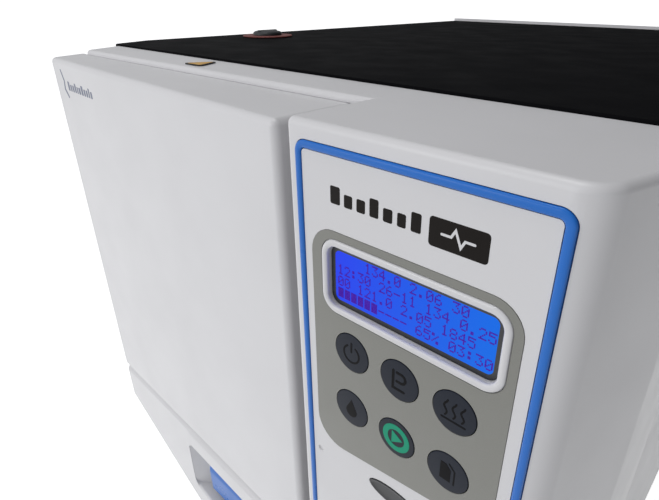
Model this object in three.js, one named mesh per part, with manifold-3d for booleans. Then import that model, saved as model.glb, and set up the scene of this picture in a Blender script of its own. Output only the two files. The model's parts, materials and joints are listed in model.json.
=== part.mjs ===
// Benchtop steam steriliser (autoclave) with a side-hung front door.
// Units are millimetres. +Z is up, the front faces -Y, +X is to the right of someone facing the door.
// The origin is on the bench, under the middle of the machine.
import * as THREE from "three";
import { mergeVertices } from "three/addons/utils/BufferGeometryUtils.js";
import Module from "manifold-3d";

const wasm = await Module();
wasm.setup();

// ---- driving dimensions -------------------------------------------------------------------

const HALF_WIDTH = 230; // to the outside of a side panel
const FACE_Y = -320; // face of the control housing
const BACK_Y = 323; // end of the drain spout
const REAR_Y = 304; // outside of the rear panel
const FOOT_H = 14;
const COVER_TOP = 421.6; // black top cover
const MOULDING_TOP = 420.2;
const MOULDING_LOW = 30;
const DOOR_TOP = 416.6;

const GAP = 0.3; // between pieces that touch
const WALL = 3; // moulded plastic
const SHEET = 1.6; // folded steel

const COVER_FRONT_Y = -241; // where the top cover meets the front moulding
const MOULDING_BACK_Y = -205;
const RECESS_Y = -267; // face that the door closes against
const BROW_Y = -272.5; // front of the low brow that overhangs the back of the closed door
const EDGE_R = 3; // rounding along the top edges of the mouldings

const CONTROL_X = 156; // middle column of buttons
const CONTROL_LEFT = CONTROL_X - 59.9;
const CONTROL_RIGHT = CONTROL_X + 59.5;
const BUTTON_R = 9.2;
const BUTTON_PITCH = 25.1;
const BUTTON_ROWS = [326.8, 296.4];
const RING_WIDTH = 3.1; // blue trim let into the control face
const RIM_WIDTH = 3.1; // white bezel around the display
const RIM_R = 8;
const FILM_RECESS = 0.9; // depth that the keypad film sits in

const DOOR_LEFT = -200; // front left edge of the door
const DOOR_RIGHT = 86.9;
const DOOR_BACK_Y = -271;
const DOOR_FLARE = 12; // how far the left side spreads towards the back
const DOOR_SWEEP = 19; // how far the left end of the door's face lies behind the right end
const LIP_LEFT_Z = 128; // joint between the door's cover and its lower panel
const LIP_RIGHT_Z = 155.5;

const CHAMBER_X = -55.5;
const CHAMBER_Z = 268;
const CHAMBER_R = 120; // bore
const CHAMBER_WALL = 2.5;
const FLANGE_R = 134;
const FLANGE_Y = -268.5; // sealing face
const CHAMBER_END_Y = 190;

const HINGE_X = -204;
const HINGE_Y = -262;
const HINGE_ZS = [190, 350];

const HANDLE_PIVOT_Y = -298;
const HANDLE_PIVOT_Z = 107;

const LATCH_X = [79.4, 83.4];
const LATCH_LOW_Z = 242; // slots that the latch tongue passes through
const LATCH_HIGH_Z = 296;
const LOCK_Y = -256;
const LOCK_Z = 268;

const FILLER_X = -186;
const FILLER_Y = -101;
const CAP_TOP = COVER_TOP + 6.2;

const FAN_X = 160;
const FAN_Z = 300;
const FAN_R = 40;
const DRAIN_X = -150;
const DRAIN_Z = 60;
const DRAIN_STEM_Y = REAR_Y + 11;
const INLET_X = [166, 214];
const INLET_Z = [48, 76];
const SWITCH_X = [128, 150];
const SWITCH_Y = REAR_Y + 1;

// ---- solids ---------------------------------------------------------------------------------

function solid(geometry) {
  const bare = geometry.clone();
  bare.deleteAttribute("normal");
  bare.deleteAttribute("uv");
  const welded = mergeVertices(bare, 1e-4);
  const vertProperties = new Float32Array(welded.attributes.position.array);
  const triVerts = new Uint32Array(welded.index.array);
  if (signedVolume(vertProperties, triVerts) < 0) {
    for (let i = 0; i < triVerts.length; i += 3) {
      [triVerts[i], triVerts[i + 1]] = [triVerts[i + 1], triVerts[i]];
    }
  }
  return new wasm.Manifold(new wasm.Mesh({ numProp: 3, vertProperties, triVerts }));
}

function signedVolume(points, corners) {
  const at = (i) => new THREE.Vector3().fromArray(points, corners[i] * 3);
  let total = 0;
  for (let i = 0; i < corners.length; i += 3) {
    total += at(i).dot(at(i + 1).cross(at(i + 2)));
  }
  return total;
}

function toGeometry(body) {
  const { vertProperties, triVerts } = body.getMesh();
  const geometry = new THREE.BufferGeometry();
  geometry.setAttribute("position", new THREE.BufferAttribute(vertProperties, 3));
  geometry.setIndex(new THREE.BufferAttribute(triVerts, 1));
  geometry.computeVertexNormals();
  return geometry;
}

function union(first, ...others) {
  return others.reduce((sum, other) => sum.add(other), first);
}

function cut(body, ...tools) {
  return tools.reduce((rest, tool) => rest.subtract(tool), body);
}

function pointTowards([x, y], [toX, toY], distance) {
  const scale = distance / Math.hypot(toX - x, toY - y);
  return [x + (toX - x) * scale, y + (toY - y) * scale];
}

// A closed outline through [x, y, corner radius] points.
function outline(corners) {
  const shape = new THREE.Shape();
  corners.forEach(([x, y, radius = 0], i) => {
    const start = pointTowards([x, y], corners.at(i - 1), radius);
    const end = pointTowards([x, y], corners[(i + 1) % corners.length], radius);
    if (i === 0) {
      shape.moveTo(...start);
    } else {
      shape.lineTo(...start);
    }
    if (radius > 0) {
      shape.quadraticCurveTo(x, y, ...end);
    }
  });
  shape.closePath();
  return shape;
}

function rectangle(x0, x1, y0, y1, radius = 0) {
  return outline([
    [x0, y0, radius],
    [x1, y0, radius],
    [x1, y1, radius],
    [x0, y1, radius],
  ]);
}

// An outline in plan (x, y), raised from z0 to z1, with its top and bottom edges rounded by bevel.
function upright(shape, z0, z1, bevel = 0, curveSegments = 4) {
  const geometry = new THREE.ExtrudeGeometry(shape, {
    depth: z1 - z0 - 2 * bevel,
    curveSegments,
    bevelEnabled: bevel > 0,
    bevelThickness: bevel,
    bevelSize: bevel,
    bevelOffset: -bevel,
    bevelSegments: 2,
  });
  geometry.translate(0, 0, z0 + bevel);
  return solid(geometry);
}

// An outline seen from the front (x, z), reaching from y0 back to y1.
function alongY(shape, y0, y1, curveSegments = 4) {
  const geometry = new THREE.ExtrudeGeometry(shape, { depth: y1 - y0, curveSegments, bevelEnabled: false });
  geometry.rotateX(Math.PI / 2);
  geometry.translate(0, y1, 0);
  return solid(geometry);
}

// An outline seen from the right (y, z), reaching from x0 to x1.
function alongX(shape, x0, x1, curveSegments = 4) {
  const geometry = new THREE.ExtrudeGeometry(shape, { depth: x1 - x0, curveSegments, bevelEnabled: false });
  const turn = new THREE.Matrix4().makeBasis(
    new THREE.Vector3(0, 1, 0),
    new THREE.Vector3(0, 0, 1),
    new THREE.Vector3(1, 0, 0),
  );
  geometry.applyMatrix4(turn);
  geometry.translate(x0, 0, 0);
  return solid(geometry);
}

function block(x0, x1, y0, y1, z0, z1) {
  const geometry = new THREE.BoxGeometry(x1 - x0, y1 - y0, z1 - z0);
  geometry.translate((x0 + x1) / 2, (y0 + y1) / 2, (z0 + z1) / 2);
  return solid(geometry);
}

// A turned profile of [radius, distance along the axis] points, about an axis through a point.
function turned(profile, axis, [x, y, z], steps = 24) {
  const points = profile.map(([radius, along]) => new THREE.Vector2(radius, along));
  const geometry = new THREE.LatheGeometry(points, steps);
  if (axis === "z") {
    geometry.rotateX(Math.PI / 2);
  }
  if (axis === "x") {
    geometry.rotateZ(-Math.PI / 2);
  }
  geometry.translate(x, y, z);
  return solid(geometry);
}

function rod(radius, from, to, axis, centre, steps = 20) {
  return turned([[0, from], [radius, from], [radius, to], [0, to]], axis, centre, steps);
}

function ring(inner, outer, from, to, axis, centre, steps = 40) {
  const profile = [[inner, from], [outer, from], [outer, to], [inner, to], [inner, from]];
  return turned(profile, axis, centre, steps);
}

// ---- materials ------------------------------------------------------------------------------

function finish(color, roughness, metalness = 0) {
  return new THREE.MeshStandardMaterial({ color, roughness, metalness });
}

const finishes = {
  whitePlastic: () => finish(0xdad8dc, 0.42),
  whitePaint: () => finish(0xd6d4d6, 0.45),
  blackPaint: () => finish(0x101114, 0.6),
  bluePlastic: () => finish(0x1f6fcc, 0.35),
  greyFilm: () => finish(0x7d7d76, 0.3),
  slateFilm: () => finish(0x242b38, 0.25),
  darkPlastic: () => finish(0x1d1f22, 0.5),
  liquidCrystal: () => finish(0x1040ff, 0.15),
  rubber: () => finish(0x18181a, 0.9),
  silicone: () => finish(0xb9b6ac, 0.7),
  steel: () => finish(0xb8babd, 0.3, 1),
  zinc: () => finish(0x9ea1a3, 0.45, 1),
  brass: () => finish(0xb08d4f, 0.35, 1),
  insulation: () => finish(0xc9b98f, 0.95),
  tank: () => finish(0xe6e8e4, 0.5),
  circuit: () => finish(0x1f5a3a, 0.6),
  amber: () => finish(0xe0a018, 0.5),
  redRing: () => finish(0x7a2a22, 0.6),
};

const machine = new THREE.Group();

function place(name, body, look) {
  const mesh = new THREE.Mesh(toGeometry(body), look());
  mesh.name = name;
  machine.add(mesh);
}

// ---- cabinet --------------------------------------------------------------------------------

function baseTray() {
  const half = HALF_WIDTH - SHEET - 2;
  const frontY = RECESS_Y + WALL + GAP;
  const lift = FOOT_H + 1;
  const tray = block(-half, half, frontY + 60, REAR_Y - 4, lift, lift + 26);
  const hollow = block(-half + SHEET, half - SHEET, frontY + 62, REAR_Y - 6, lift + SHEET, lift + 30);
  return cut(tray, hollow);
}

function foot(x, y) {
  const profile = [[0, 0], [15, 0], [17, 2], [19, FOOT_H + 0.7], [0, FOOT_H + 0.7]];
  return turned(profile, "z", [x, y, 0], 24);
}

// Plan of the front moulding: a control housing that stands forward on the right, a recess for
// the door on the left, and sides that spread out to the width of the cabinet.
function mouldingPlan(inset) {
  const backY = inset > 0 ? MOULDING_BACK_Y + 10 : MOULDING_BACK_Y;
  const corner = (radius) => Math.max(radius - inset, 0);
  return outline([
    [CONTROL_LEFT + inset, FACE_Y + inset, corner(EDGE_R + 1.5)],
    [CONTROL_RIGHT - inset, FACE_Y + inset, corner(13)],
    [HALF_WIDTH - inset, -270, 10],
    [HALF_WIDTH - inset, backY],
    [-HALF_WIDTH + inset, backY],
    [DOOR_LEFT + inset, RECESS_Y + inset, corner(9)],
    [CONTROL_LEFT + inset, RECESS_Y + inset, 0],
  ]);
}

const trimRange = { x0: CONTROL_X - 54.5, x1: CONTROL_X + 53.7, z0: 52, z1: 412.8 };

function trimOutline(inset) {
  const { x0, x1, z0, z1 } = trimRange;
  return rectangle(x0 + inset, x1 - inset, z0 + inset, z1 - inset, 5.2 - inset);
}

function trimRing(widen, y0, y1) {
  return cut(alongY(trimOutline(-widen), y0, y1), alongY(trimOutline(RING_WIDTH + widen), y0 - 1, y1 + 1));
}

function keypadOutline(grow) {
  return outline([
    [CONTROL_X - 47.1 - grow, 263.5 - grow, 14],
    [CONTROL_X + 45.4 + grow, 278.3 - grow, 14],
    [CONTROL_X + 45.4 + grow, 379.9 + grow, 12],
    [CONTROL_X - 47.1 - grow, 379.9 + grow, 12],
  ]);
}

const bezelRange = { x0: CONTROL_X - 41.4, x1: CONTROL_X + 41.8, z0: 343, z1: 376.5 };

function bezelOutline(grow, radius) {
  const { x0, x1, z0, z1 } = bezelRange;
  return rectangle(x0 - grow, x1 + grow, z0 - grow, z1 + grow, radius);
}

function ovalOutline(grow) {
  const shape = new THREE.Shape();
  shape.absellipse(CONTROL_X, 259.3, 14 + grow, 5 + grow, 0, Math.PI * 2, false, 0);
  return shape;
}

function buttonCentres() {
  return BUTTON_ROWS.flatMap((z) => [-1, 0, 1].map((column) => [CONTROL_X + column * BUTTON_PITCH, z]));
}

// The brow carries on the slant of the moulding's left side.
function brow() {
  const slant = (HALF_WIDTH + DOOR_LEFT) / (MOULDING_BACK_Y - RECESS_Y);
  const edgeX = (y) => DOOR_LEFT - slant * (y - RECESS_Y);
  const backY = RECESS_Y + 12;
  const plan = outline([
    [edgeX(BROW_Y), BROW_Y, EDGE_R + 1],
    [CONTROL_LEFT + 4, BROW_Y],
    [CONTROL_LEFT + 4, backY],
    [edgeX(backY), backY],
  ]);
  return upright(plan, MOULDING_TOP - 6, MOULDING_TOP, EDGE_R - 0.5)
    .subtract(block(-240, CONTROL_LEFT + 10, BROW_Y - 1, RECESS_Y, MOULDING_TOP - 10, DOOR_TOP + GAP));
}

function frontMoulding() {
  const shell = cut(
    upright(mouldingPlan(0), MOULDING_LOW, MOULDING_TOP, EDGE_R),
    upright(mouldingPlan(WALL), MOULDING_LOW + WALL, MOULDING_TOP - WALL - 2),
  ).add(brow());
  const rebate = block(-240, 240, COVER_FRONT_Y, MOULDING_BACK_Y + 1, COVER_TOP - 3.6, COVER_TOP);
  const chamberHole = rod(FLANGE_R + 2, RECESS_Y - 5, RECESS_Y + 5, "y", [CHAMBER_X, 0, CHAMBER_Z], 44);
  const latchSlot = block(
    LATCH_X[0] - 3.4,
    LATCH_X[1] + 7.6,
    RECESS_Y - 2,
    RECESS_Y + 5,
    LATCH_LOW_Z - 4,
    LATCH_HIGH_Z + 4,
  );
  const hingePocket = rod(7.5, HINGE_ZS[0] - 24, HINGE_ZS[1] + 24, "z", [HINGE_X, HINGE_Y, 0]);
  const window = alongY(bezelOutline(-RIM_WIDTH, RIM_R - RIM_WIDTH), FACE_Y - 1, FACE_Y + 5);
  const buttonHoles = buttonCentres().map(([x, z]) => {
    return rod(BUTTON_R + 0.7, FACE_Y - 1, FACE_Y + 5, "y", [x, 0, z], 20);
  });
  return cut(
    shell,
    rebate,
    chamberHole,
    latchSlot,
    hingePocket,
    window,
    ...buttonHoles,
    alongY(keypadOutline(GAP), FACE_Y - 1, FACE_Y + FILM_RECESS),
    alongY(ovalOutline(0.4), FACE_Y - 1, FACE_Y + 5, 10),
    trimRing(GAP, FACE_Y - 1, FACE_Y + 1.8),
    rod(1.6, FACE_Y - 1, FACE_Y + 1, "y", [CONTROL_X - 46.6, 0, 255.5], 12),
  );
}

function louvres(x, y0, count) {
  return Array.from({ length: count }, (_, i) => {
    return block(x - 5, x + 5, y0 + i * 12, y0 + i * 12 + 4, 70, 130);
  });
}

function sidePanel(side) {
  const x0 = side > 0 ? HALF_WIDTH - SHEET : -HALF_WIDTH;
  const panel = block(x0, x0 + SHEET, MOULDING_BACK_Y + GAP, REAR_Y - GAP - 2, FOOT_H + 2, COVER_TOP - 3.6);
  return cut(panel, ...louvres(x0, 190, 8));
}

function topCover() {
  const flareX = HALF_WIDTH - 14;
  const plan = outline([
    [-flareX, COVER_FRONT_Y + GAP, 2],
    [HALF_WIDTH - 1, COVER_FRONT_Y + GAP, 2],
    [HALF_WIDTH - 1, REAR_Y - 2, 2],
    [1 - HALF_WIDTH, REAR_Y - 2, 2],
    [1 - HALF_WIDTH, MOULDING_BACK_Y, 2],
  ]);
  const fillerHole = rod(16.6, COVER_TOP - 10, COVER_TOP + 10, "z", [FILLER_X, FILLER_Y, 0]);
  return cut(upright(plan, COVER_TOP - 3.3, COVER_TOP), fillerHole);
}

// Concentric slots punched in front of the fan, in four sectors each.
function fanSlots() {
  const centre = [FAN_X, 0, FAN_Z];
  const spoke = block(-FAN_R - 5, FAN_R + 5, REAR_Y - 5, REAR_Y + 5, -2.5, 2.5);
  const spokes = [0, 90].map((turn) => spoke.rotate([0, turn, 0]).translate(centre));
  return [12, 22, 32].map((r) => {
    return cut(ring(r, r + 5, REAR_Y - 4, REAR_Y + 4, "y", centre, 20), ...spokes);
  });
}

function rearPanel() {
  const edge = HALF_WIDTH - SHEET - GAP;
  const panel = block(-edge, edge, REAR_Y - 1.7, REAR_Y, FOOT_H + 2, COVER_TOP + 3.4);
  return cut(
    panel,
    rod(8.6, REAR_Y - 4, REAR_Y + 4, "y", [DRAIN_X, 0, DRAIN_Z]),
    ...fanSlots(),
    block(SWITCH_X[0], INLET_X[1], REAR_Y - 4, REAR_Y + 4, ...INLET_Z),
    rod(9.6, REAR_Y - 4, REAR_Y + 4, "y", [CHAMBER_X, 0, CHAMBER_Z + 100]),
  );
}

function cautionMark() {
  const z = MOULDING_TOP + GAP;
  return upright(outline([[-67, -266, 1.5], [-45.5, -266, 1.5], [-56.3, -246.5, 1.5]]), z, z + 0.5);
}

// ---- filler and tank ------------------------------------------------------------------------

function fillerCollar() {
  const low = COVER_TOP - 18;
  const flange = COVER_TOP + GAP;
  const top = flange + 1.3;
  const profile = [[12.8, low], [16, low], [16, flange], [24, flange], [24, top], [12.8, top], [12.8, low]];
  return turned(profile, "z", [FILLER_X, FILLER_Y, 0]);
}

function fillerCap() {
  const profile = [
    [0, CAP_TOP - 16],
    [12.3, CAP_TOP - 16],
    [12.3, CAP_TOP - 4.3],
    [14, CAP_TOP - 4.3],
    [14, CAP_TOP - 2.8],
    [12.4, CAP_TOP - 1.4],
    [9, CAP_TOP - 0.5],
    [4.5, CAP_TOP - 0.1],
    [0, CAP_TOP],
  ];
  const grip = block(-1.6, 1.6, -11, 11, CAP_TOP - 2.6, CAP_TOP);
  return union(turned(profile, "z", [FILLER_X, FILLER_Y, 0]), grip.translate([FILLER_X, FILLER_Y, 0]));
}

// The tank fills the corner between the insulated chamber, the left side and the top.
function waterReservoir() {
  const clear = 149;
  const left = -HALF_WIDTH + SHEET + 2;
  const topZ = COVER_TOP - 7.6;
  const shape = new THREE.Shape();
  shape.moveTo(left, topZ);
  shape.lineTo(left, CHAMBER_Z);
  shape.lineTo(CHAMBER_X - clear, CHAMBER_Z);
  shape.absarc(CHAMBER_X, CHAMBER_Z, clear, Math.PI, Math.PI * 0.58, true);
  shape.lineTo(CHAMBER_X + clear * Math.cos(Math.PI * 0.58), topZ);
  shape.closePath();
  const tank = alongY(shape, -150, 250, 12);
  return cut(tank, rod(17, COVER_TOP - 22, COVER_TOP, "z", [FILLER_X, FILLER_Y, 0]));
}

// ---- pressure chamber -----------------------------------------------------------------------

const chamberAxis = [CHAMBER_X, 0, CHAMBER_Z];

function chamberVessel() {
  const inner = CHAMBER_R;
  const outer = CHAMBER_R + CHAMBER_WALL;
  const end = CHAMBER_END_Y;
  const profile = [
    [0, end + 22],
    [60, end + 17],
    [100, end + 5],
    [outer, end - 16],
    [outer, FLANGE_Y],
    [inner, FLANGE_Y],
    [inner, end - 17],
    [98.5, end + 3],
    [59, end + 14.4],
    [0, end + 19.4],
  ];
  const flange = ring(inner + 1, FLANGE_R, FLANGE_Y, FLANGE_Y + 13, "y", chamberAxis, 40);
  return union(turned(profile, "y", chamberAxis, 40), flange);
}

function heaterBand() {
  const inner = CHAMBER_R + CHAMBER_WALL + GAP;
  return ring(inner, inner + 3, -160, 100, "y", chamberAxis, 40);
}

// Two saddles under the insulated chamber, joined by a pair of rails.
function cradle() {
  const [front, rear] = [-190, 130];
  const posts = [front, rear].map((y) => {
    const post = block(CHAMBER_X - 90, CHAMBER_X + 90, y, y + 20, FOOT_H + 3, CHAMBER_Z - 90);
    const windows = [-60, 25].map((x) => block(CHAMBER_X + x, CHAMBER_X + x + 35, y - 1, y + 21, 40, 95));
    return cut(post, ...windows);
  });
  const rails = [-85, 65].map((x) => {
    return block(CHAMBER_X + x, CHAMBER_X + x + 20, front, rear + 20, FOOT_H + 3, 34);
  });
  return cut(union(...posts, ...rails), rod(144.6, front - 1, rear + 21, "y", chamberAxis, 40));
}

const TRAY_HALF = 84;
const TRAY_LEVELS = [-58, -4, 50];
const RACK_FRONT_Y = -235;
const RACK_BACK_Y = 165;

function trayRack() {
  const side = TRAY_HALF + 3;
  const sheet = 1.5;
  const walls = [-side - sheet, side].map((x) => {
    const x0 = CHAMBER_X + x;
    return block(x0, x0 + sheet, RACK_FRONT_Y, RACK_BACK_Y, CHAMBER_Z - 70, CHAMBER_Z + 70);
  });
  const runners = TRAY_LEVELS.flatMap((level) => {
    const z = CHAMBER_Z + level - 2;
    return [-side - 0.5, side - 6].map((x) => {
      return block(CHAMBER_X + x, CHAMBER_X + x + 6.5, RACK_FRONT_Y, RACK_BACK_Y, z, z + 1.5);
    });
  });
  const ties = [RACK_FRONT_Y, RACK_BACK_Y - 15].map((y) => {
    return block(CHAMBER_X - side - 1, CHAMBER_X + side + 1, y, y + 15, CHAMBER_Z - 70, CHAMBER_Z - 68.5);
  });
  const windows = [-200, -70, 60].map((y) => {
    return block(CHAMBER_X - 120, CHAMBER_X + 120, y, y + 70, CHAMBER_Z + 56, CHAMBER_Z + 64);
  });
  return cut(union(...walls, ...runners, ...ties), ...windows);
}

function tray(level) {
  const z = CHAMBER_Z + level - 0.2;
  const walls = (inset, low, high) => {
    const half = TRAY_HALF - inset;
    const [front, back] = [RACK_FRONT_Y + 6 + inset, RACK_BACK_Y - 6 - inset];
    return block(CHAMBER_X - half, CHAMBER_X + half, front, back, low, high);
  };
  const drains = [-120, -35, 50].flatMap((y) => {
    return [-45, 0, 45].map((x) => block(CHAMBER_X + x - 12, CHAMBER_X + x + 12, y, y + 5, z - 1, z + 2));
  });
  return cut(walls(0, z, z + 17), walls(1.2, z + 1.2, z + 20), ...drains);
}

// ---- door -----------------------------------------------------------------------------------

function lipZ(x) {
  return LIP_LEFT_Z + ((x - DOOR_LEFT) / (DOOR_RIGHT - DOOR_LEFT)) * (LIP_RIGHT_Z - LIP_LEFT_Z);
}

function doorPlan(inset) {
  const backY = inset > 0 ? DOOR_BACK_Y + 10 : DOOR_BACK_Y;
  const flare = inset > 0 ? DOOR_FLARE * 1.3 : DOOR_FLARE;
  const rightFront = FACE_Y + 2 + inset;
  return outline([
    [DOOR_LEFT + inset, rightFront + DOOR_SWEEP, 9 - inset],
    [DOOR_RIGHT - inset, rightFront, EDGE_R + 2 - inset],
    [DOOR_RIGHT - inset, backY],
    [DOOR_LEFT - flare + inset, backY],
  ]);
}

function doorCover() {
  const shell = cut(
    upright(doorPlan(0), 100, DOOR_TOP, EDGE_R + 0.5),
    upright(doorPlan(WALL), 90, DOOR_TOP - WALL),
  );
  const face = outline([
    [-240, lipZ(-240)],
    [120, lipZ(120)],
    [120, 440],
    [-240, 440],
  ]);
  return shell.intersect(alongY(face, -340, -250));
}

const POCKET = { x0: -72, x1: 62, z0: 66, belowLip: 26, shallowY: -290.5, deepY: -278, deepTop: 109 };
const HANDLE_X = [-50.5, 40.5];

function panelFace(inset) {
  return outline([
    [DOOR_LEFT - 20, 92 + inset],
    [DOOR_LEFT - 5, 90 + inset, 4],
    [-58, 38 + inset, 40],
    [60, 34 + inset, 10],
    [100, 34 + inset],
    [100, lipZ(100) - 1.6 - inset / 2],
    [DOOR_LEFT - 20, lipZ(DOOR_LEFT - 20) - 1.6 - inset / 2],
  ]);
}

// Outline of the finger pocket, widened by rim; its roof follows the lip.
function pocketFace(rim, top = 200) {
  const { x0, x1, z0 } = POCKET;
  const roof = (x) => Math.min(lipZ(x) - POCKET.belowLip + rim, top);
  const radius = 9 - 2 * rim;
  return outline([
    [x0 - rim, z0 - rim, radius],
    [x1 + rim, z0 - rim, radius],
    [x1 + rim, roof(x1), radius / 2],
    [x0 - rim, roof(x0), radius / 2],
  ]);
}

function doorLowerPanel() {
  const { x0, x1, shallowY, deepY, deepTop } = POCKET;
  const rim = 2.5;
  const body = upright(doorPlan(0), 20, 200);
  const plate = body.intersect(alongY(panelFace(0), -340, DOOR_BACK_Y));
  const hollow = upright(doorPlan(WALL), 20, 200).intersect(alongY(panelFace(WALL), -340, -240));
  const cup = union(
    body.intersect(alongY(pocketFace(rim), -340, shallowY + rim)),
    body.intersect(alongY(pocketFace(rim, deepTop + rim), -340, deepY + rim)),
  );
  return cut(
    union(cut(plate, hollow), cup),
    alongY(pocketFace(0), -340, shallowY),
    alongY(pocketFace(0, deepTop), -340, deepY),
    rod(2.6, x0 - 10, x1 + 10, "x", [0, HANDLE_PIVOT_Y, HANDLE_PIVOT_Z], 12),
    alongY(linerFace(GAP), DOOR_BACK_Y - 3 - GAP, DOOR_BACK_Y + 10),
    rod(131.5, -287.5, -250, "y", chamberAxis, 40),
  );
}

// The pull hangs from its pivot inside the pocket, with a fingertip lip along its lower edge.
function doorHandle() {
  const py = HANDLE_PIVOT_Y;
  const pz = HANDLE_PIVOT_Z;
  const profile = outline([
    [py - 3, pz + 4, 2.5],
    [py - 6, pz - 10, 6],
    [py - 5.5, pz - 33, 2],
    [py + 0.5, pz - 35, 2],
    [py - 0.5, pz - 10, 6],
    [py + 4, pz - 4, 3],
    [py + 4, pz + 4, 2.5],
  ]);
  const body = alongX(profile, ...HANDLE_X);
  return union(body, rod(2.2, POCKET.x0 - 1.5, POCKET.x1 + 1.5, "x", [0, py, pz], 16));
}

function linerFace(grow) {
  return outline([
    [-203 - grow, 98 - grow, 4],
    [-60, 46 - grow, 20],
    [DOOR_RIGHT - WALL - 0.5 + grow, 40 - grow, 4],
    [DOOR_RIGHT - WALL - 0.5 + grow, 411 + grow, 4],
    [-203 - grow, 411 + grow, 4],
  ]);
}

function doorInnerLiner() {
  return cut(
    alongY(linerFace(0), DOOR_BACK_Y - 3, DOOR_BACK_Y - GAP),
    rod(131.5, -300, -250, "y", chamberAxis, 40),
    block(LATCH_X[0] - 1.4, DOOR_RIGHT, -300, -250, LATCH_LOW_Z, LATCH_HIGH_Z),
  );
}

function pressurePlate() {
  const profile = [
    [0, -282],
    [70, -282],
    [110, -286],
    [130, -286],
    [130, -275.3],
    [0, -275.3],
  ];
  return turned(profile, "y", chamberAxis, 40);
}

function doorSeal() {
  return ring(121, 129, -275, FLANGE_Y - 0.4, "y", chamberAxis, 40);
}

function doorYoke() {
  const bar = block(-196, 76, -294.5, -286.4, CHAMBER_Z - 20, CHAMBER_Z + 20);
  const hub = cut(rod(34, -294.5, -282.4, "y", chamberAxis, 32), rod(10, -300, -270, "y", chamberAxis));
  return union(bar, hub);
}

function latchTongue() {
  const bar = block(...LATCH_X, -284, -249.5, LOCK_Z - 22, LOCK_Z + 20);
  return cut(bar, block(75, 90, LOCK_Y - 4, LOCK_Y + 4, LOCK_Z - 12, LOCK_Z + 6));
}

function doorStrike() {
  const body = block(79.2, 96, RECESS_Y + WALL + GAP, -243, LOCK_Z - 32, LOCK_Z + 36);
  const mouth = block(75, 92, -270, -247, LOCK_Z - 26, LOCK_Z + 30);
  return cut(body, mouth, rod(4, 80, 110, "x", [0, LOCK_Y, LOCK_Z]));
}

function lockSolenoid() {
  const body = block(103, 136, LOCK_Y - 7, LOCK_Y + 11, LOCK_Z - 12, LOCK_Z + 12);
  return cut(body, rod(3.4, 100, 132, "x", [0, LOCK_Y, LOCK_Z]));
}

function lockPlunger() {
  return rod(3, 90, 122, "x", [0, LOCK_Y, LOCK_Z], 20);
}

// ---- hinges ---------------------------------------------------------------------------------

const knuckleCentre = [HINGE_X, HINGE_Y, 0];
const HINGE_LOW_Z = HINGE_ZS[0] - 22;
const HINGE_HIGH_Z = HINGE_ZS[1] + 22;

function pinHole() {
  return rod(2.6, HINGE_LOW_Z - 8, HINGE_HIGH_Z + 8, "z", knuckleCentre, 10);
}

// One long leaf on the door, with a knuckle at each hinge.
function hingeLeaf() {
  const tab = outline([
    [HINGE_X - 5, HINGE_Y],
    [HINGE_X - 5, -270.6, 2],
    [-178, -270.6],
    [-178, -268],
    [HINGE_X, -268],
    [HINGE_X, HINGE_Y],
  ]);
  const tabs = HINGE_ZS.flatMap((z) => {
    return [rod(5, z - 9.8, z + 9.8, "z", knuckleCentre, 12), upright(tab, z - 9.8, z + 9.8)];
  });
  const spine = block(-199, -192, -270.6, -268, HINGE_ZS[0] - 9, HINGE_ZS[1] + 9);
  return cut(union(spine, ...tabs), pinHole());
}

function hingeBracket() {
  const ends = HINGE_ZS.flatMap((z) => [[z - 20, z - 10.2], [z + 10.2, z + 20]]);
  const knuckles = ends.map(([low, high]) => rod(5, low, high, "z", knuckleCentre, 12));
  const arms = ends.map(([low, high]) => block(HINGE_X, -191, HINGE_Y + 0.8, HINGE_Y + 4.5, low, high));
  const spine = block(-197, -191, HINGE_Y + 0.8, HINGE_Y + 4.5, HINGE_ZS[0] - 20, HINGE_ZS[1] + 20);
  return cut(union(spine, ...arms, ...knuckles), pinHole());
}

function hingePin() {
  const profile = [
    [0, HINGE_LOW_Z],
    [2.2, HINGE_LOW_Z],
    [2.2, HINGE_HIGH_Z - 1.6],
    [4.4, HINGE_HIGH_Z - 1.6],
    [4.4, HINGE_HIGH_Z],
    [0, HINGE_HIGH_Z],
  ];
  return turned(profile, "z", knuckleCentre, 12);
}

// ---- control panel --------------------------------------------------------------------------

function keypadOverlay() {
  const film = alongY(keypadOutline(0), FACE_Y - 0.2, FACE_Y + 0.6);
  const holes = buttonCentres().map(([x, z]) => {
    return rod(BUTTON_R + GAP, FACE_Y - 2, FACE_Y + 2, "y", [x, 0, z], 16);
  });
  return cut(film, alongY(bezelOutline(GAP, RIM_R), FACE_Y - 2, FACE_Y + 2), ...holes);
}

function button([x, z]) {
  const profile = [
    [0, FACE_Y - 0.5],
    [BUTTON_R, FACE_Y - 0.5],
    [BUTTON_R, FACE_Y + 2.2],
    [3, FACE_Y + 2.2],
    [3, FACE_Y + 7],
    [0, FACE_Y + 7],
  ];
  return turned(profile, "y", [x, 0, z], 20);
}

function displayBezel() {
  const opening = alongY(bezelOutline(-RIM_WIDTH, RIM_R - RIM_WIDTH), FACE_Y - 4, FACE_Y + 2);
  return cut(alongY(bezelOutline(0, RIM_R), FACE_Y - 0.9, FACE_Y + FILM_RECESS - GAP), opening);
}

function displayModule() {
  const { x0, x1, z0, z1 } = bezelRange;
  const glass = alongY(bezelOutline(-RIM_WIDTH - GAP, RIM_R - RIM_WIDTH), FACE_Y + 2, FACE_Y + 5);
  return union(glass, block(x0 - 2, x1 + 2, FACE_Y + 3.4, FACE_Y + 11, z0 - 1, z1 + 6));
}

function controlBoard() {
  const board = block(CONTROL_X - 48, CONTROL_X + 48, FACE_Y + 8.2, FACE_Y + 9.8, 262, 340);
  const chips = [[-30, 270], [0, 312], [20, 275]].map(([x, z]) => {
    return block(CONTROL_X + x, CONTROL_X + x + 22, FACE_Y + 9, FACE_Y + 13, z, z + 12);
  });
  return union(board, ...chips);
}

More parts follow.
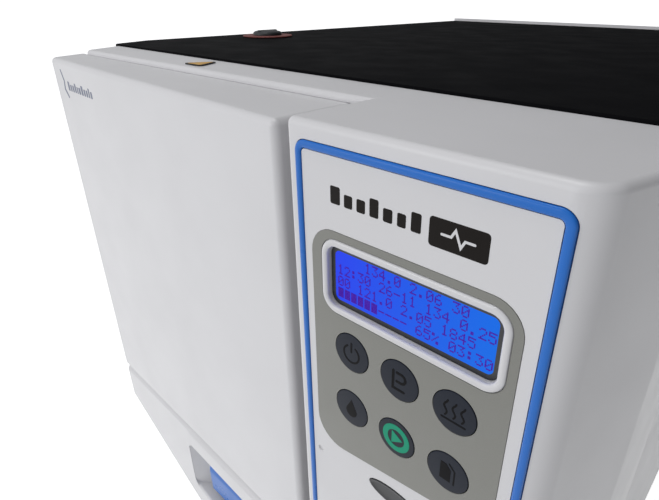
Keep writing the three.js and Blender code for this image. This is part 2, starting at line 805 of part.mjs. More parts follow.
function portCover() {
  return alongY(ovalOutline(0), FACE_Y - 0.3, FACE_Y + 4, 10);
}

// ---- services -------------------------------------------------------------------------------

function fanFrame() {
  const half = 46;
  const y1 = REAR_Y - 2;
  const frame = alongY(rectangle(FAN_X - half, FAN_X + half, FAN_Z - half, FAN_Z + half, 6), y1 - 25, y1);
  const duct = ring(16.5, FAN_R + 1, y1 - 26, y1 + 1, "y", [FAN_X, 0, FAN_Z], 40);
  const shaftHole = rod(2.6, y1 - 30, y1 - 8, "y", [FAN_X, 0, FAN_Z], 16);
  const motorRoom = rod(16.6, y1 - 26, y1 - 5, "y", [FAN_X, 0, FAN_Z], 32);
  const struts = [0, 1, 2].map((i) => {
    return block(-2, 2, y1 - 4, y1, -FAN_R - 3, 14).rotate([0, 120 * i, 0]).translate([FAN_X, 0, FAN_Z]);
  });
  return cut(union(cut(frame, duct, motorRoom), ...struts), shaftHole);
}

function fanRotor() {
  const y1 = REAR_Y - 2;
  const hub = rod(15.5, y1 - 24, y1 - 6, "y", [0, 0, 0], 24);
  const blades = Array.from({ length: 7 }, (_, i) => {
    const blade = block(-8, 8, -0.9, 0.9, 12, FAN_R - 1.5).rotate([0, 0, 38]).translate([0, y1 - 15, 0]);
    return blade.rotate([0, (360 / 7) * i, 0]);
  });
  return union(hub, ...blades).translate([FAN_X, 0, FAN_Z]);
}

function condenser() {
  const { x, z, half, y0, y1 } = { x: FAN_X, z: FAN_Z, half: 42, y0: 215, y1: 268 };
  const plates = Array.from({ length: 7 }, (_, i) => {
    const low = z - half + i * 13.7;
    return block(x - half, x + half, y0, y1, low, low + 1.4);
  });
  const pipes = [-22, 22].map((dx) => rod(5, z - half - 8, z + half + 6, "z", [x + dx, (y0 + y1) / 2, 0], 6));
  return union(...plates, ...pipes);
}

function vacuumPump() {
  const motor = rod(34, 40, 120, "y", [165, 0, 62], 32);
  const head = block(128, 202, 120, 165, 26, 108);
  const plinth = block(135, 195, 50, 160, FOOT_H + 3.3, 34);
  const ports = [150, 180].map((x) => rod(4, 104, 124, "z", [x, 142, 0], 16));
  return union(motor, head, plinth, ...ports);
}

function valveBlock() {
  const body = block(-206, -120, 200, 250, FOOT_H + 3.3, 44);
  const coils = [-190, -163, -136].map((x) => rod(11, 40, 88, "z", [x, 218, 0], 24));
  return union(body, ...coils);
}

function powerSupply() {
  const plate = block(222, 226, -150, 40, 150, 330);
  const sink = Array.from({ length: 6 }, (_, i) => block(198, 223, -140 + i * 12, -136 + i * 12, 160, 250));
  const coil = rod(24, 180, 224, "x", [0, -10, 280], 28);
  return union(plate, ...sink, coil, block(190, 223, -60, 20, 165, 225));
}

function airFilter() {
  const profile = [[0, 230], [5, 230], [5, 245], [28, 252], [28, 282], [5, 290], [5, 304], [0, 304]];
  return turned(profile, "z", [150, -190, 0], 28);
}

// Mains inlet socket and the frame of the rocker switch, moulded as one appliance module.
function mainsInlet() {
  const [x0, x1] = [SWITCH_X[0], INLET_X[1]];
  const [z0, z1] = INLET_Z;
  const middle = (z0 + z1) / 2;
  const pinX = (INLET_X[0] + INLET_X[1]) / 2;
  const body = block(x0 + GAP, x1 - GAP, REAR_Y - 24, REAR_Y + 1, z0 + GAP, z1 - GAP);
  const flange = block(x0 - 4, x1 + 4, REAR_Y + GAP, REAR_Y + 3, z0 - 4, z1 + 4);
  const socket = block(INLET_X[0] + 12, INLET_X[1] - 12, REAR_Y - 16, REAR_Y + 5, z0 + 6, z1 - 6);
  const switchWell = block(SWITCH_X[0] + 2.5, SWITCH_X[1] - 2.5, REAR_Y - 17, REAR_Y + 5, z0 + 1.5, z1 - 1.5);
  const pins = [-7, 0, 7].map((dx, i) => {
    const z = middle + (i === 1 ? 3 : -3);
    return block(pinX + dx - 1, pinX + dx + 1, REAR_Y - 18, REAR_Y - 1, z - 2, z + 2);
  });
  return union(cut(union(body, flange), socket, switchWell), ...pins);
}

function powerSwitch() {
  const [x0, x1] = SWITCH_X;
  const middle = (INLET_Z[0] + INLET_Z[1]) / 2;
  const rocker = outline([
    [SWITCH_Y - 8, middle - 8, 2],
    [SWITCH_Y + 1, middle - 10],
    [SWITCH_Y + 0.4, middle],
    [SWITCH_Y + 3, middle + 10],
    [SWITCH_Y - 8, middle + 8, 2],
  ]);
  return alongX(rocker, x0 + 3, x1 - 3);
}

function drainValve() {
  const profile = [
    [0, REAR_Y - 30],
    [8, REAR_Y - 30],
    [8, REAR_Y + GAP],
    [11, REAR_Y + GAP],
    [11, REAR_Y + 3],
    [8, REAR_Y + 3],
    [8, REAR_Y + 6],
    [4.5, REAR_Y + 6],
    [4.5, BACK_Y],
    [0, BACK_Y],
  ];
  const stem = rod(3.4, DRAIN_Z, 74, "z", [DRAIN_X + 0.2, DRAIN_STEM_Y, 0], 14);
  return union(turned(profile, "y", [DRAIN_X, 0, DRAIN_Z], 20), stem);
}

function drainKnob() {
  const centre = [DRAIN_X, DRAIN_STEM_Y, 0];
  const wing = block(-10, 10, -3, 3, 74.3, 80).translate(centre);
  return union(rod(6, 74.3, 80, "z", centre, 20), wing);
}

function reliefValve() {
  const centre = [CHAMBER_X, 0, CHAMBER_Z + 100];
  const stem = rod(6, 232, REAR_Y + 4, "y", centre, 20);
  const hexagon = rod(12, 250, 272, "y", centre, 6);
  return union(stem, hexagon, rod(9, REAR_Y - 3, REAR_Y + 8, "y", centre, 24));
}

// ---- assembly -------------------------------------------------------------------------------

function addCabinet() {
  const corners = [["left", -200], ["right", 200]].flatMap(([side, x]) => {
    return [["front", -185], ["rear", 280]].map(([end, y]) => [`foot_${end}_${side}`, x, y]);
  });
  corners.forEach(([name, x, y]) => place(name, foot(x, y), finishes.rubber));
  place("base_tray", baseTray(), finishes.zinc);
  place("front_moulding", frontMoulding(), finishes.whitePlastic);
  place("left_side_panel", sidePanel(-1), finishes.whitePaint);
  place("right_side_panel", sidePanel(1), finishes.whitePaint);
  place("rear_panel", rearPanel(), finishes.whitePaint);
  place("top_cover", topCover(), finishes.blackPaint);
  place("caution_mark", cautionMark(), finishes.amber);
  place("filler_collar", fillerCollar(), finishes.redRing);
  place("filler_cap", fillerCap(), finishes.darkPlastic);
  place("water_reservoir", waterReservoir(), finishes.tank);
}

function addChamber() {
  place("chamber_vessel", chamberVessel(), finishes.steel);
  place("heater_band", heaterBand(), finishes.silicone);
  place("insulation_jacket", ring(130, 144, -240, 160, "y", chamberAxis, 40), finishes.insulation);
  place("chamber_cradle", cradle(), finishes.zinc);
  place("tray_rack", trayRack(), finishes.steel);
  TRAY_LEVELS.forEach((level, i) => place(`tray_${i + 1}`, tray(level), finishes.steel));
}

function addDoor() {
  place("door_cover", doorCover(), finishes.whitePlastic);
  place("door_lower_panel", doorLowerPanel(), finishes.whitePlastic);
  place("door_handle", doorHandle(), finishes.bluePlastic);
  place("door_inner_liner", doorInnerLiner(), finishes.whitePlastic);
  place("pressure_plate", pressurePlate(), finishes.steel);
  place("door_seal", doorSeal(), finishes.silicone);
  place("door_yoke", doorYoke(), finishes.zinc);
  place("latch_tongue", latchTongue(), finishes.steel);
  place("door_strike", doorStrike(), finishes.zinc);
  place("lock_solenoid", lockSolenoid(), finishes.darkPlastic);
  place("lock_plunger", lockPlunger(), finishes.steel);
  place("hinge_leaf", hingeLeaf(), finishes.steel);
  place("hinge_bracket", hingeBracket(), finishes.zinc);
  place("hinge_pin", hingePin(), finishes.steel);
}

function addControls() {
  const names = ["power", "release", "dry", "nature", "start", "log"];
  buttonCentres().forEach((centre, i) => place(`button_${names[i]}`, button(centre), finishes.slateFilm));
  place("trim_ring", trimRing(0, FACE_Y - 0.9, FACE_Y + 1.5), finishes.bluePlastic);
  place("keypad_overlay", keypadOverlay(), finishes.greyFilm);
  place("display_bezel", displayBezel(), finishes.whitePlastic);
  place("display_module", displayModule(), finishes.liquidCrystal);
  place("control_board", controlBoard(), finishes.circuit);
  place("port_cover", portCover(), finishes.darkPlastic);
}

function addServices() {
  place("fan_frame", fanFrame(), finishes.darkPlastic);
  place("fan_rotor", fanRotor(), finishes.darkPlastic);
  place("condenser", condenser(), finishes.zinc);
  place("vacuum_pump", vacuumPump(), finishes.zinc);
  place("valve_block", valveBlock(), finishes.brass);
  place("power_supply", powerSupply(), finishes.zinc);
  place("air_filter", airFilter(), finishes.tank);
  place("mains_inlet", mainsInlet(), finishes.darkPlastic);
  place("power_switch", powerSwitch(), finishes.darkPlastic);
  place("relief_valve", reliefValve(), finishes.brass);
  place("drain_valve", drainValve(), finishes.brass);
  place("drain_knob", drainKnob(), finishes.bluePlastic);
}

addCabinet();
addChamber();
addDoor();
addControls();
addServices();

export default machine;
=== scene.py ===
"""Looks of the benchtop autoclave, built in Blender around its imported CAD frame.

The frame is in metres, +Z up, with the front facing -Y and +X to the right of someone facing the door.
Sizes below are in millimetres and become metres when a mesh is made. Places come from the CAD nodes' boxes.
"""

import json
import math

import bmesh
import bpy
from mathutils import Matrix, Vector


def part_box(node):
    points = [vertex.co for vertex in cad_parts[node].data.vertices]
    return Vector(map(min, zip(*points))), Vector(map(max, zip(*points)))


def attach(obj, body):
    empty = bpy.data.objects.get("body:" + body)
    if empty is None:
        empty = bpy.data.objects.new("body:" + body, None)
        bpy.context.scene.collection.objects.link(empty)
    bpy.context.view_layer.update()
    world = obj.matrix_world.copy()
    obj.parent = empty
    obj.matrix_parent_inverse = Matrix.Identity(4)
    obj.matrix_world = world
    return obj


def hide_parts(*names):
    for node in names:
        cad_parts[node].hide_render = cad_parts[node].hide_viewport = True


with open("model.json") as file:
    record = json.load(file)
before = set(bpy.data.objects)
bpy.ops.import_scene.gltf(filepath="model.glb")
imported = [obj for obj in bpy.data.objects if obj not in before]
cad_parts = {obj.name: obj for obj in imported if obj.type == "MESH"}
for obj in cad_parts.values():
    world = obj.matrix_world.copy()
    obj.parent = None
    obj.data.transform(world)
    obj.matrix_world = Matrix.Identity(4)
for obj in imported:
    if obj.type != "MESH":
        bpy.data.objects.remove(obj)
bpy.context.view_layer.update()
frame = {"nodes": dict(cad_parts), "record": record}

MM = 0.001
WALL = 3  # moulded plastic
GAP = 0.3  # between pieces that touch
FINE = 5  # steps around a small rounding


def box(node):
    """Lowest and highest corner of a CAD node, in millimetres."""
    low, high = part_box(node)
    return low / MM, high / MM


# ---- camera, lights and floor ----

CAMERA_AT = (0.2479, -0.4458, 0.4623)
CAMERA_TURN = 42.02  # degrees to the left of straight ahead
CAMERA_DOWN = 26.46
CAMERA_ROLL = 0.29
CAMERA_LENS = 27.98
CAMERA_SHIFT = (-0.045, -0.0061)


def add_camera():
    data = bpy.data.cameras.new("camera")
    data.lens = CAMERA_LENS
    data.sensor_width = 36
    data.shift_x, data.shift_y = CAMERA_SHIFT
    data.clip_start = 0.01
    camera = bpy.data.objects.new("camera", data)
    turn = Matrix.Rotation(math.radians(CAMERA_TURN), 4, "Z")
    tilt = Matrix.Rotation(math.radians(90 - CAMERA_DOWN), 4, "X")
    roll = Matrix.Rotation(math.radians(CAMERA_ROLL), 4, "Z")
    camera.matrix_world = Matrix.Translation(CAMERA_AT) @ turn @ tilt @ roll
    bpy.context.scene.collection.objects.link(camera)
    bpy.context.scene.camera = camera


def add_softbox(name, place, aim, size, power):
    data = bpy.data.lights.new(name, "AREA")
    data.size = size
    data.energy = power
    light = bpy.data.objects.new(name, data)
    light.location = place
    light.rotation_euler = (Vector(aim) - Vector(place)).to_track_quat("-Z", "Y").to_euler()
    bpy.context.scene.collection.objects.link(light)


def add_world():
    """A pale surround that fades from bright at the front and left to dim at the back and right."""
    world = bpy.data.worlds.new("studio")
    bpy.context.scene.world = world
    world.use_nodes = True
    nodes, links = world.node_tree.nodes, world.node_tree.links
    where = nodes.new("ShaderNodeTexCoord")
    bright = nodes.new("ShaderNodeVectorMath")
    bright.operation = "DOT_PRODUCT"
    bright.inputs[1].default_value = (-0.6, -0.79, -0.12)
    ramp = nodes.new("ShaderNodeMapRange")
    ramp.inputs["From Min"].default_value = -1
    ramp.inputs["From Max"].default_value = 1
    ramp.inputs["To Min"].default_value = 0.03
    ramp.inputs["To Max"].default_value = 0.9
    links.new(where.outputs["Generated"], bright.inputs[0])
    links.new(bright.outputs["Value"], ramp.inputs["Value"])
    links.new(ramp.outputs["Result"], nodes["Background"].inputs["Strength"])
    nodes["Background"].inputs["Color"].default_value = (0.97, 0.98, 1.0, 1)


def add_floor():
    """A wide white bench top, lit from below like a light table, that throws no light back on the machine."""
    vertices = [(-60, -60, 0), (60, -60, 0), (60, 60, 0), (-60, 60, 0)]
    mesh = bpy.data.meshes.new("floor")
    mesh.from_pydata(vertices, [], [(0, 1, 2, 3)])
    floor = bpy.data.objects.new("floor", mesh)
    look = bpy.data.materials.new("floor")
    look.use_nodes = True
    shader = look.node_tree.nodes["Principled BSDF"]
    shader.inputs["Base Color"].default_value = (0.9, 0.9, 0.9, 1)
    shader.inputs["Roughness"].default_value = 0.9
    shader.inputs["Emission Color"].default_value = (1, 1, 1, 1)
    shader.inputs["Emission Strength"].default_value = 0.75
    mesh.materials.append(look)
    bpy.context.scene.collection.objects.link(floor)
    floor.visible_diffuse = False


def add_studio():
    bpy.context.scene.view_settings.view_transform = "Standard"
    add_camera()
    add_world()
    add_floor()
    centre = (0, 0, 0.25)
    add_softbox("key", (-0.9, -2.0, 1.0), centre, 1.0, 8)
    add_softbox("top", (-0.2, -0.5, 2.4), centre, 0.6, 10)


# ---- materials ----


class Look:
    """One procedural material, with short ways to add the detail that a finish needs."""

    def __init__(self, name, colour, roughness, metallic=0.0):
        self.material = bpy.data.materials.new(name)
        self.material.use_nodes = True
        self.nodes = self.material.node_tree.nodes
        self.links = self.material.node_tree.links
        self.shader = self.nodes["Principled BSDF"]
        self.where = self.nodes.new("ShaderNodeTexCoord").outputs["Object"]
        self.colour = colour
        self.roughness = roughness
        self.set("Base Color", (*colour, 1))
        self.set("Roughness", roughness)
        self.set("Metallic", metallic)

    def set(self, socket, value):
        self.shader.inputs[socket].default_value = value
        return self

    def noise(self, size, detail=3, stretch=(1, 1, 1)):
        """Noise whose features are about size metres across, drawn out along an axis by stretch."""
        mapping = self.nodes.new("ShaderNodeMapping")
        mapping.inputs["Scale"].default_value = [1 / s for s in stretch]
        texture = self.nodes.new("ShaderNodeTexNoise")
        texture.inputs["Scale"].default_value = 1 / size
        texture.inputs["Detail"].default_value = detail
        self.links.new(self.where, mapping.inputs["Vector"])
        self.links.new(mapping.outputs["Vector"], texture.inputs["Vector"])
        return texture.outputs["Fac"]

    def cells(self, size):
        """Rounded cells about size metres across."""
        texture = self.nodes.new("ShaderNodeTexVoronoi")
        texture.feature = "SMOOTH_F1"
        texture.inputs["Scale"].default_value = 1 / size
        self.links.new(self.where, texture.inputs["Vector"])
        return texture.outputs["Distance"]

    def mottled(self, size, amount, stretch=(1, 1, 1)):
        """Lightens and darkens the colour in soft patches."""
        ramp = self.nodes.new("ShaderNodeValToRGB")
        ramp.color_ramp.elements[0].position = 0.3
        ramp.color_ramp.elements[1].position = 0.7
        for element, factor in zip(ramp.color_ramp.elements, (1 - amount, 1 + amount)):
            element.color = (*[min(c * factor, 1) for c in self.colour], 1)
        self.links.new(self.noise(size, 4, stretch), ramp.inputs["Fac"])
        self.links.new(ramp.outputs["Color"], self.shader.inputs["Base Color"])
        return self

    def uneven_gloss(self, size, amount, stretch=(1, 1, 1)):
        """Varies the roughness, as handling and cleaning do."""
        span = self.nodes.new("ShaderNodeMapRange")
        span.inputs["From Min"].default_value = 0.3
        span.inputs["From Max"].default_value = 0.7
        span.inputs["To Min"].default_value = self.roughness - amount
        span.inputs["To Max"].default_value = self.roughness + amount
        self.links.new(self.noise(size, 3, stretch), span.inputs["Value"])
        self.links.new(span.outputs["Result"], self.shader.inputs["Roughness"])
        return self

    def bumpy(self, height, depth, strength=1.0):
        """Raises the surface by depth metres where height is high; calls add up."""
        bump = self.nodes.new("ShaderNodeBump")
        bump.inputs["Strength"].default_value = strength
        bump.inputs["Distance"].default_value = depth
        self.links.new(height, bump.inputs["Height"])
        earlier = self.shader.inputs["Normal"].links
        if earlier:
            self.links.new(earlier[0].from_socket, bump.inputs["Normal"])
        self.links.new(bump.outputs["Normal"], self.shader.inputs["Normal"])
        return self

    def glowing(self, left, right, strength, x0, x1):
        """Emits light that changes from one colour to another between x0 and x1, in metres."""
        split = self.nodes.new("ShaderNodeSeparateXYZ")
        span = self.nodes.new("ShaderNodeMapRange")
        span.inputs["From Min"].default_value = x0
        span.inputs["From Max"].default_value = x1
        ramp = self.nodes.new("ShaderNodeValToRGB")
        for element, colour in zip(ramp.color_ramp.elements, (left, right)):
            element.color = (*colour, 1)
        self.links.new(self.where, split.inputs["Vector"])
        self.links.new(split.outputs["X"], span.inputs["Value"])
        self.links.new(span.outputs["Result"], ramp.inputs["Fac"])
        self.links.new(ramp.outputs["Color"], self.shader.inputs["Emission Color"])
        return self.set("Emission Strength", strength)


def moulded(name, colour, roughness, grain=0.7, depth=0.02):
    """Injection-moulded plastic with a fine spark-eroded texture."""
    look = Look(name, colour, roughness)
    look.mottled(60 * MM, 0.02)
    look.uneven_gloss(25 * MM, 0.04)
    look.bumpy(look.noise(grain * MM, 4), depth * MM, 0.6)
    return look


def powder_coat(name, colour, roughness, peel=1.6, depth=0.06):
    """Paint baked on steel, with its orange-peel skin and finer grit on top."""
    look = Look(name, colour, roughness)
    look.mottled(90 * MM, 0.03)
    look.uneven_gloss(30 * MM, 0.05)
    look.bumpy(look.cells(peel * MM), depth * MM, 0.5)
    look.bumpy(look.noise(0.5 * MM, 3), 0.02 * MM, 0.6)
    return look


def brushed_metal(name, colour, roughness, stretch=(40, 1, 1)):
    """Rolled or brushed metal, with its marks drawn out along one axis."""
    look = Look(name, colour, roughness, metallic=1.0)
    look.mottled(20 * MM, 0.06, stretch)
    look.uneven_gloss(0.8 * MM, 0.07, stretch)
    look.bumpy(look.noise(0.5 * MM, 4, stretch), 0.01 * MM, 0.5)
    return look


def printed_film(name, colour, roughness):
    """Polyester film with a fine velvet grain."""
    look = Look(name, colour, roughness)
    look.mottled(0.35 * MM, 0.05)
    look.uneven_gloss(18 * MM, 0.04)
    look.bumpy(look.noise(0.25 * MM, 3), 0.008 * MM, 0.5)
    return look


def woven_lagging(name, colour):
    """Glass-fibre cloth, woven over and under."""
    look = Look(name, colour, 0.95)
    look.mottled(12 * MM, 0.15)
    for direction in ("X", "Y"):
        wave = look.nodes.new("ShaderNodeTexWave")
        wave.bands_direction = direction
        wave.inputs["Scale"].default_value = 90
        wave.inputs["Distortion"].default_value = 1.5
        look.links.new(look.where, wave.inputs["Vector"])
        look.bumpy(wave.outputs["Fac"], 0.4 * MM, 0.5)
    return look


def circuit_board(name, colour):
    """Solder mask with the copper tracks showing under it."""
    look = Look(name, colour, 0.35)
    look.mottled(3 * MM, 0.3, (1, 1, 8))
    look.bumpy(look.cells(2.2 * MM), 0.04 * MM, 0.7)
    return look


WHITE = (0.66, 0.655, 0.67)
BLACK = (0.004, 0.004, 0.0048)
BLUE = (0.014, 0.15, 0.56)
SLATE = (0.015, 0.019, 0.03)


def make_looks():
    """The material of each slot that the record names."""
    looks = {
        "white_plastic": moulded("white_plastic", WHITE, 0.38),
        "white_paint": powder_coat("white_paint", WHITE, 0.42),
        "black_paint": powder_coat("black_paint", BLACK, 0.6, 0.9, 0.12).set("Specular IOR Level", 0.01),
        "blue_plastic": moulded("blue_plastic", BLUE, 0.3, 0.9, 0.006).set("Specular IOR Level", 0.25),
        "grey_film": printed_film("grey_film", (0.2, 0.2, 0.18), 0.4),
        "slate_film": printed_film("slate_film", SLATE, 0.3).set("Specular IOR Level", 0.1),
        "start_key": printed_film("start_key", SLATE, 0.3).set("Specular IOR Level", 0.15),
        "dark_plastic": moulded("dark_plastic", (0.012, 0.013, 0.016), 0.45),
        "display": Look("display", (0.0, 0.01, 0.05), 0.08),
        "foot_rubber": moulded("foot_rubber", (0.01, 0.01, 0.01), 0.85, 0.5, 0.05),
        "silicone": moulded("silicone", (0.46, 0.45, 0.4), 0.55, 0.4, 0.03),
        "stainless": brushed_metal("stainless", (0.6, 0.6, 0.61), 0.24),
        "zinc_steel": brushed_metal("zinc_steel", (0.42, 0.43, 0.44), 0.42, (1, 6, 1)),
        "brass": brushed_metal("brass", (0.55, 0.38, 0.14), 0.3, (1, 1, 10)),
        "insulation": woven_lagging("insulation", (0.5, 0.42, 0.24)),
        "tank_plastic": moulded("tank_plastic", (0.72, 0.74, 0.7), 0.5, 1.5, 0.05),
        "circuit": circuit_board("circuit", (0.01, 0.12, 0.05)),
        "amber_label": printed_film("amber_label", (0.62, 0.33, 0.02), 0.4),
        "red_ring": moulded("red_ring", (0.16, 0.03, 0.025), 0.55),
        "aluminium_fins": brushed_metal("aluminium_fins", (0.6, 0.61, 0.62), 0.35, (1, 20, 1)),
        "white_gloss": moulded("white_gloss", WHITE, 0.2, 0.9, 0.003),
        "dot_ink": printed_film("dot_ink", (0.09, 0.015, 0.45), 0.4).set("Specular IOR Level", 0.05),
        "sign_ink": printed_film("sign_ink", (0.003, 0.003, 0.004), 0.4).set("Specular IOR Level", 0.05),
        "green_ink": printed_film("green_ink", (0.004, 0.3, 0.17), 0.35).set("Specular IOR Level", 0.1),
        "mark_ink": printed_film("mark_ink", (0.006, 0.004, 0.003), 0.4).set("Specular IOR Level", 0.1),
        "blue_grey_ink": printed_film("blue_grey_ink", (0.1, 0.12, 0.2), 0.4),
    }
    low, high = box("display_module")
    looks["display"].uneven_gloss(12 * MM, 0.02).set("Specular IOR Level", 0.1)
    looks["display"].glowing((0.012, 0.03, 0.95), (0.0, 0.17, 0.86), 0.85, low.x * MM, high.x * MM)
    return {name: look.material for name, look in looks.items()}


LOOKS = make_looks()
SLOT_OF = {part["node"]: part["material_slot"] for part in frame["record"]["subparts"]}
BODY_OF = {
    node: body
    for body, nodes in frame["record"]["behaviour"]["bodies"].items()
    for node in nodes
}


# ---- mesh making ----


def add_mesh(name, vertices, faces, look):
    """A mesh from points in millimetres, with its faces turned outwards."""
    mesh = bpy.data.meshes.new(name)
    mesh.from_pydata([Vector(v) * MM for v in vertices], [], faces)
    obj = bpy.data.objects.new(name, mesh)
    bpy.context.scene.collection.objects.link(obj)
    mesh.materials.append(look)
    face_outwards(obj)
    return obj


def face_outwards(obj):
    work = bmesh.new()
    work.from_mesh(obj.data)
    bmesh.ops.recalc_face_normals(work, faces=work.faces)
    work.to_mesh(obj.data)
    work.free()


def corner_arc(before, here, after, radius, inset, steps):
    """Points that round one corner of an anticlockwise outline whose sides have moved in by inset."""
    enter = (here - before).normalized()
    leave = (after - here).normalized()
    inward = Vector((-enter.y, enter.x))
    inward_next = Vector((-leave.y, leave.x))
    moved = here + (inward + inward_next) * (inset / (1 + inward.dot(inward_next)))
    turn = math.atan2(enter.cross(leave), enter.dot(leave))
    if radius == 0 or abs(turn) < 1e-6:
        return [moved]
    side = math.copysign(1, turn)
    reach = max(radius - side * inset, 0.05)
    start = moved - enter * reach * math.tan(abs(turn) / 2)
    centre = start + inward * side * reach
    arm = start - centre
    return [
        centre + Matrix.Rotation(turn * i / steps, 2) @ arm
        for i in range(steps + 1)
    ]


def outline(corners, inset=0.0, steps=8, stride=None):
    """Points of a closed anticlockwise outline through (a, b, radius) corners, moved inwards by inset.

    With a stride, straight sides also get points about that far apart.
    """
    flat = [Vector(corner[:2]) for corner in corners]
    arcs = [
        corner_arc(flat[i - 1], flat[i], flat[(i + 1) % len(flat)], corners[i][2], inset, steps)
        for i in range(len(flat))
    ]
    points = []
    for i, arc in enumerate(arcs):
        points += arc
        if stride:
            start, end = arc[-1], arcs[(i + 1) % len(arcs)][0]
            full = (flat[(i + 1) % len(flat)] - flat[i]).length
            parts = max(round(full / stride), 1)
            points += [start.lerp(end, k / parts) for k in range(1, parts)]
    return points


def rectangle(x0, x1, z0, z1, radius):
    return [(x0, z0, radius), (x1, z0, radius), (x1, z1, radius), (x0, z1, radius)]


def rounded(start, radius, steps=FINE):
    """(level, inset) pairs of an edge that rounds from a side wall onto a flat end at start.

    A positive radius rounds upwards to the end, a negative one rounds down to it.
    """
    size = abs(radius)
    angles = [math.pi / 2 * i / steps for i in range(steps + 1)]
    pairs = [(start - radius * (1 - math.sin(a)), size * (1 - math.cos(a))) for a in angles]
    return pairs if radius > 0 else pairs[::-1]


def standing(a, b, level):
    return (a, b, level(a) if callable(level) else level)


def facing(a, b, level):
    return (a, level, b)


def across(a, b, level):
    return (level, a, b)


def stack(name, corners, levels, look, place=standing, steps=8, stride=None):
    """A solid whose outline is inset by its own amount at each level; place gives x, y and z."""
    rings = [outline(corners, inset, steps, stride) for _, inset in levels]
    count = len(rings[0])
    vertices = [
        place(point.x, point.y, level)
        for ring, (level, _) in zip(rings, levels)
        for point in ring
    ]
    faces = wall_faces(len(rings), count, closed=False)
    faces.append(tuple(range(count)))
    faces.append(tuple(range(len(vertices) - count, len(vertices))))
    return add_mesh(name, vertices, faces, look)


def wall_faces(rows, count, closed):
    """Quads between rows of count points, each row a closed loop; closed joins the last row to the first."""
    faces = []
    for row in range(rows if closed else rows - 1):
        low, high = row * count, (row + 1) % rows * count
        faces += [
            (low + i, low + (i + 1) % count, high + (i + 1) % count, high + i)
            for i in range(count)
        ]
    return faces


def hoop(name, corners, section, look, place=facing, steps=10):
    """A closed section of (inset, level) points carried round an outline."""
    rings = [outline(corners, inset, steps) for inset, _ in section]
    vertices = [
        place(point.x, point.y, level)
        for ring, (_, level) in zip(rings, section)
        for point in ring
    ]
    return add_mesh(name, vertices, wall_faces(len(section), len(rings[0]), closed=True), look)


def turned(name, profile, centre, look, axis="z", steps=96):
    """A profile of (radius, distance along the axis) points, from axis to axis, turned about centre."""
    place = {
        "z": lambda a, b, c: (a, b, c),
        "y": lambda a, b, c: (a, c, b),
        "x": lambda a, b, c: (c, a, b),
    }[axis]
    inner = [(r, c) for r, c in profile if r > 0]
    vertices = [
        Vector(centre) + Vector(place(r * math.cos(t), r * math.sin(t), c))
        for r, c in inner
        for t in (2 * math.pi * i / steps for i in range(steps))
    ]
    closed = len(inner) == len(profile)
    faces = wall_faces(len(inner), steps, closed)
    for on_axis, ring in ((profile[0], 0), (profile[-1], len(inner) - 1)):
        if not closed:
            vertices.append(Vector(centre) + Vector(place(0, 0, on_axis[1])))
            tip = len(vertices) - 1
            faces += [(ring * steps + i, ring * steps + (i + 1) % steps, tip) for i in range(steps)]
    return add_mesh(name, vertices, faces, look)


def plug(name, radius, y0, y1, centre, look, steps=96):
    """A cylinder along Y, for cutting a round hole."""
    return turned(name, [(0, y0), (radius, y0), (radius, y1), (0, y1)], centre, look, "y", steps)


def block(name, low, high, look, radius=0.0):
    """A rectangular body with its upright edges and its top and bottom edges rounded."""
    corners = rectangle(low[0], high[0], low[1], high[1], max(radius, 0.01))
    levels = rounded(low[2], -radius) + rounded(high[2], radius) if radius else [(low[2], 0), (high[2], 0)]
    return stack(name, corners, levels, look, steps=FINE)


def apply_modifiers(obj):
    shown = obj.evaluated_get(bpy.context.evaluated_depsgraph_get())
    mesh = bpy.data.meshes.new_from_object(shown)
    obj.modifiers.clear()
    obj.data = mesh


def combine(obj, operation, tools):
    """Cuts tools out of obj, or joins them to it, and removes them."""
    for tool in tools:
        modifier = obj.modifiers.new("combine", "BOOLEAN")
        modifier.operation = operation
        modifier.solver = "EXACT"
        modifier.object = tool
        apply_modifiers(obj)
        bpy.data.objects.remove(tool)
    return obj


def carve(obj, *tools):
    return combine(obj, "DIFFERENCE", tools)


def weld(obj, *tools):
    return combine(obj, "UNION", tools)


def merge(name, pieces):
    """One object from several, without joining their solids."""
    work = bmesh.new()
    for piece in pieces:
        work.from_mesh(piece.data)
    look = pieces[0].data.materials[0]
    for piece in pieces:
        bpy.data.objects.remove(piece)
    mesh = bpy.data.meshes.new(name)
    work.to_mesh(mesh)
    work.free()
    mesh.materials.append(look)
    obj = bpy.data.objects.new(name, mesh)
    bpy.context.scene.collection.objects.link(obj)
    return obj


def smooth(obj, angle=32):
    """Shades curved faces smooth and keeps flat faces flat."""
    for face in obj.data.polygons:
        face.use_smooth = True
    obj.data.set_sharp_from_angle(angle=math.radians(angle))
    weighted = obj.modifiers.new("weighted_normals", "WEIGHTED_NORMAL")
    weighted.keep_sharp = True


def stands_for(obj, *nodes, angle=32):
    """obj is shown in place of CAD nodes and rides on their body."""
    smooth(obj, angle)
    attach(obj, BODY_OF[nodes[0]])
    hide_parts(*nodes)
    return obj


def adds_to(obj, node, angle=32):
    """obj is a detail on a CAD node: it rides on that node's body."""
    smooth(obj, angle)
    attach(obj, BODY_OF[node])
    return obj


# ---- front moulding ----

HOUSING_LOW, HOUSING_HIGH = box("front_moulding")
DOOR_LOW, DOOR_HIGH = box("door_cover")
FACE_Y = HOUSING_LOW.y  # face of the control housing
RING_WIDTH = 3.1  # blue trim in the housing's face
RIM_WIDTH = 3.1  # of the display bezel
RECESS_Y = -267  # face that the door closes against
BROW_Y = -272.5
CONTROL_X = (box("button_nature")[0].x + box("button_log")[1].x) / 2
CONTROL_LEFT = CONTROL_X - 59.9
CONTROL_RIGHT = CONTROL_X + 59.5
DOOR_FLARE = 12
DOOR_SWEEP = 19
DOOR_LEFT = DOOR_LOW.x + DOOR_FLARE
EDGE_R = 3
CHAMBER = (box("chamber_vessel")[0] + box("chamber_vessel")[1]) / 2


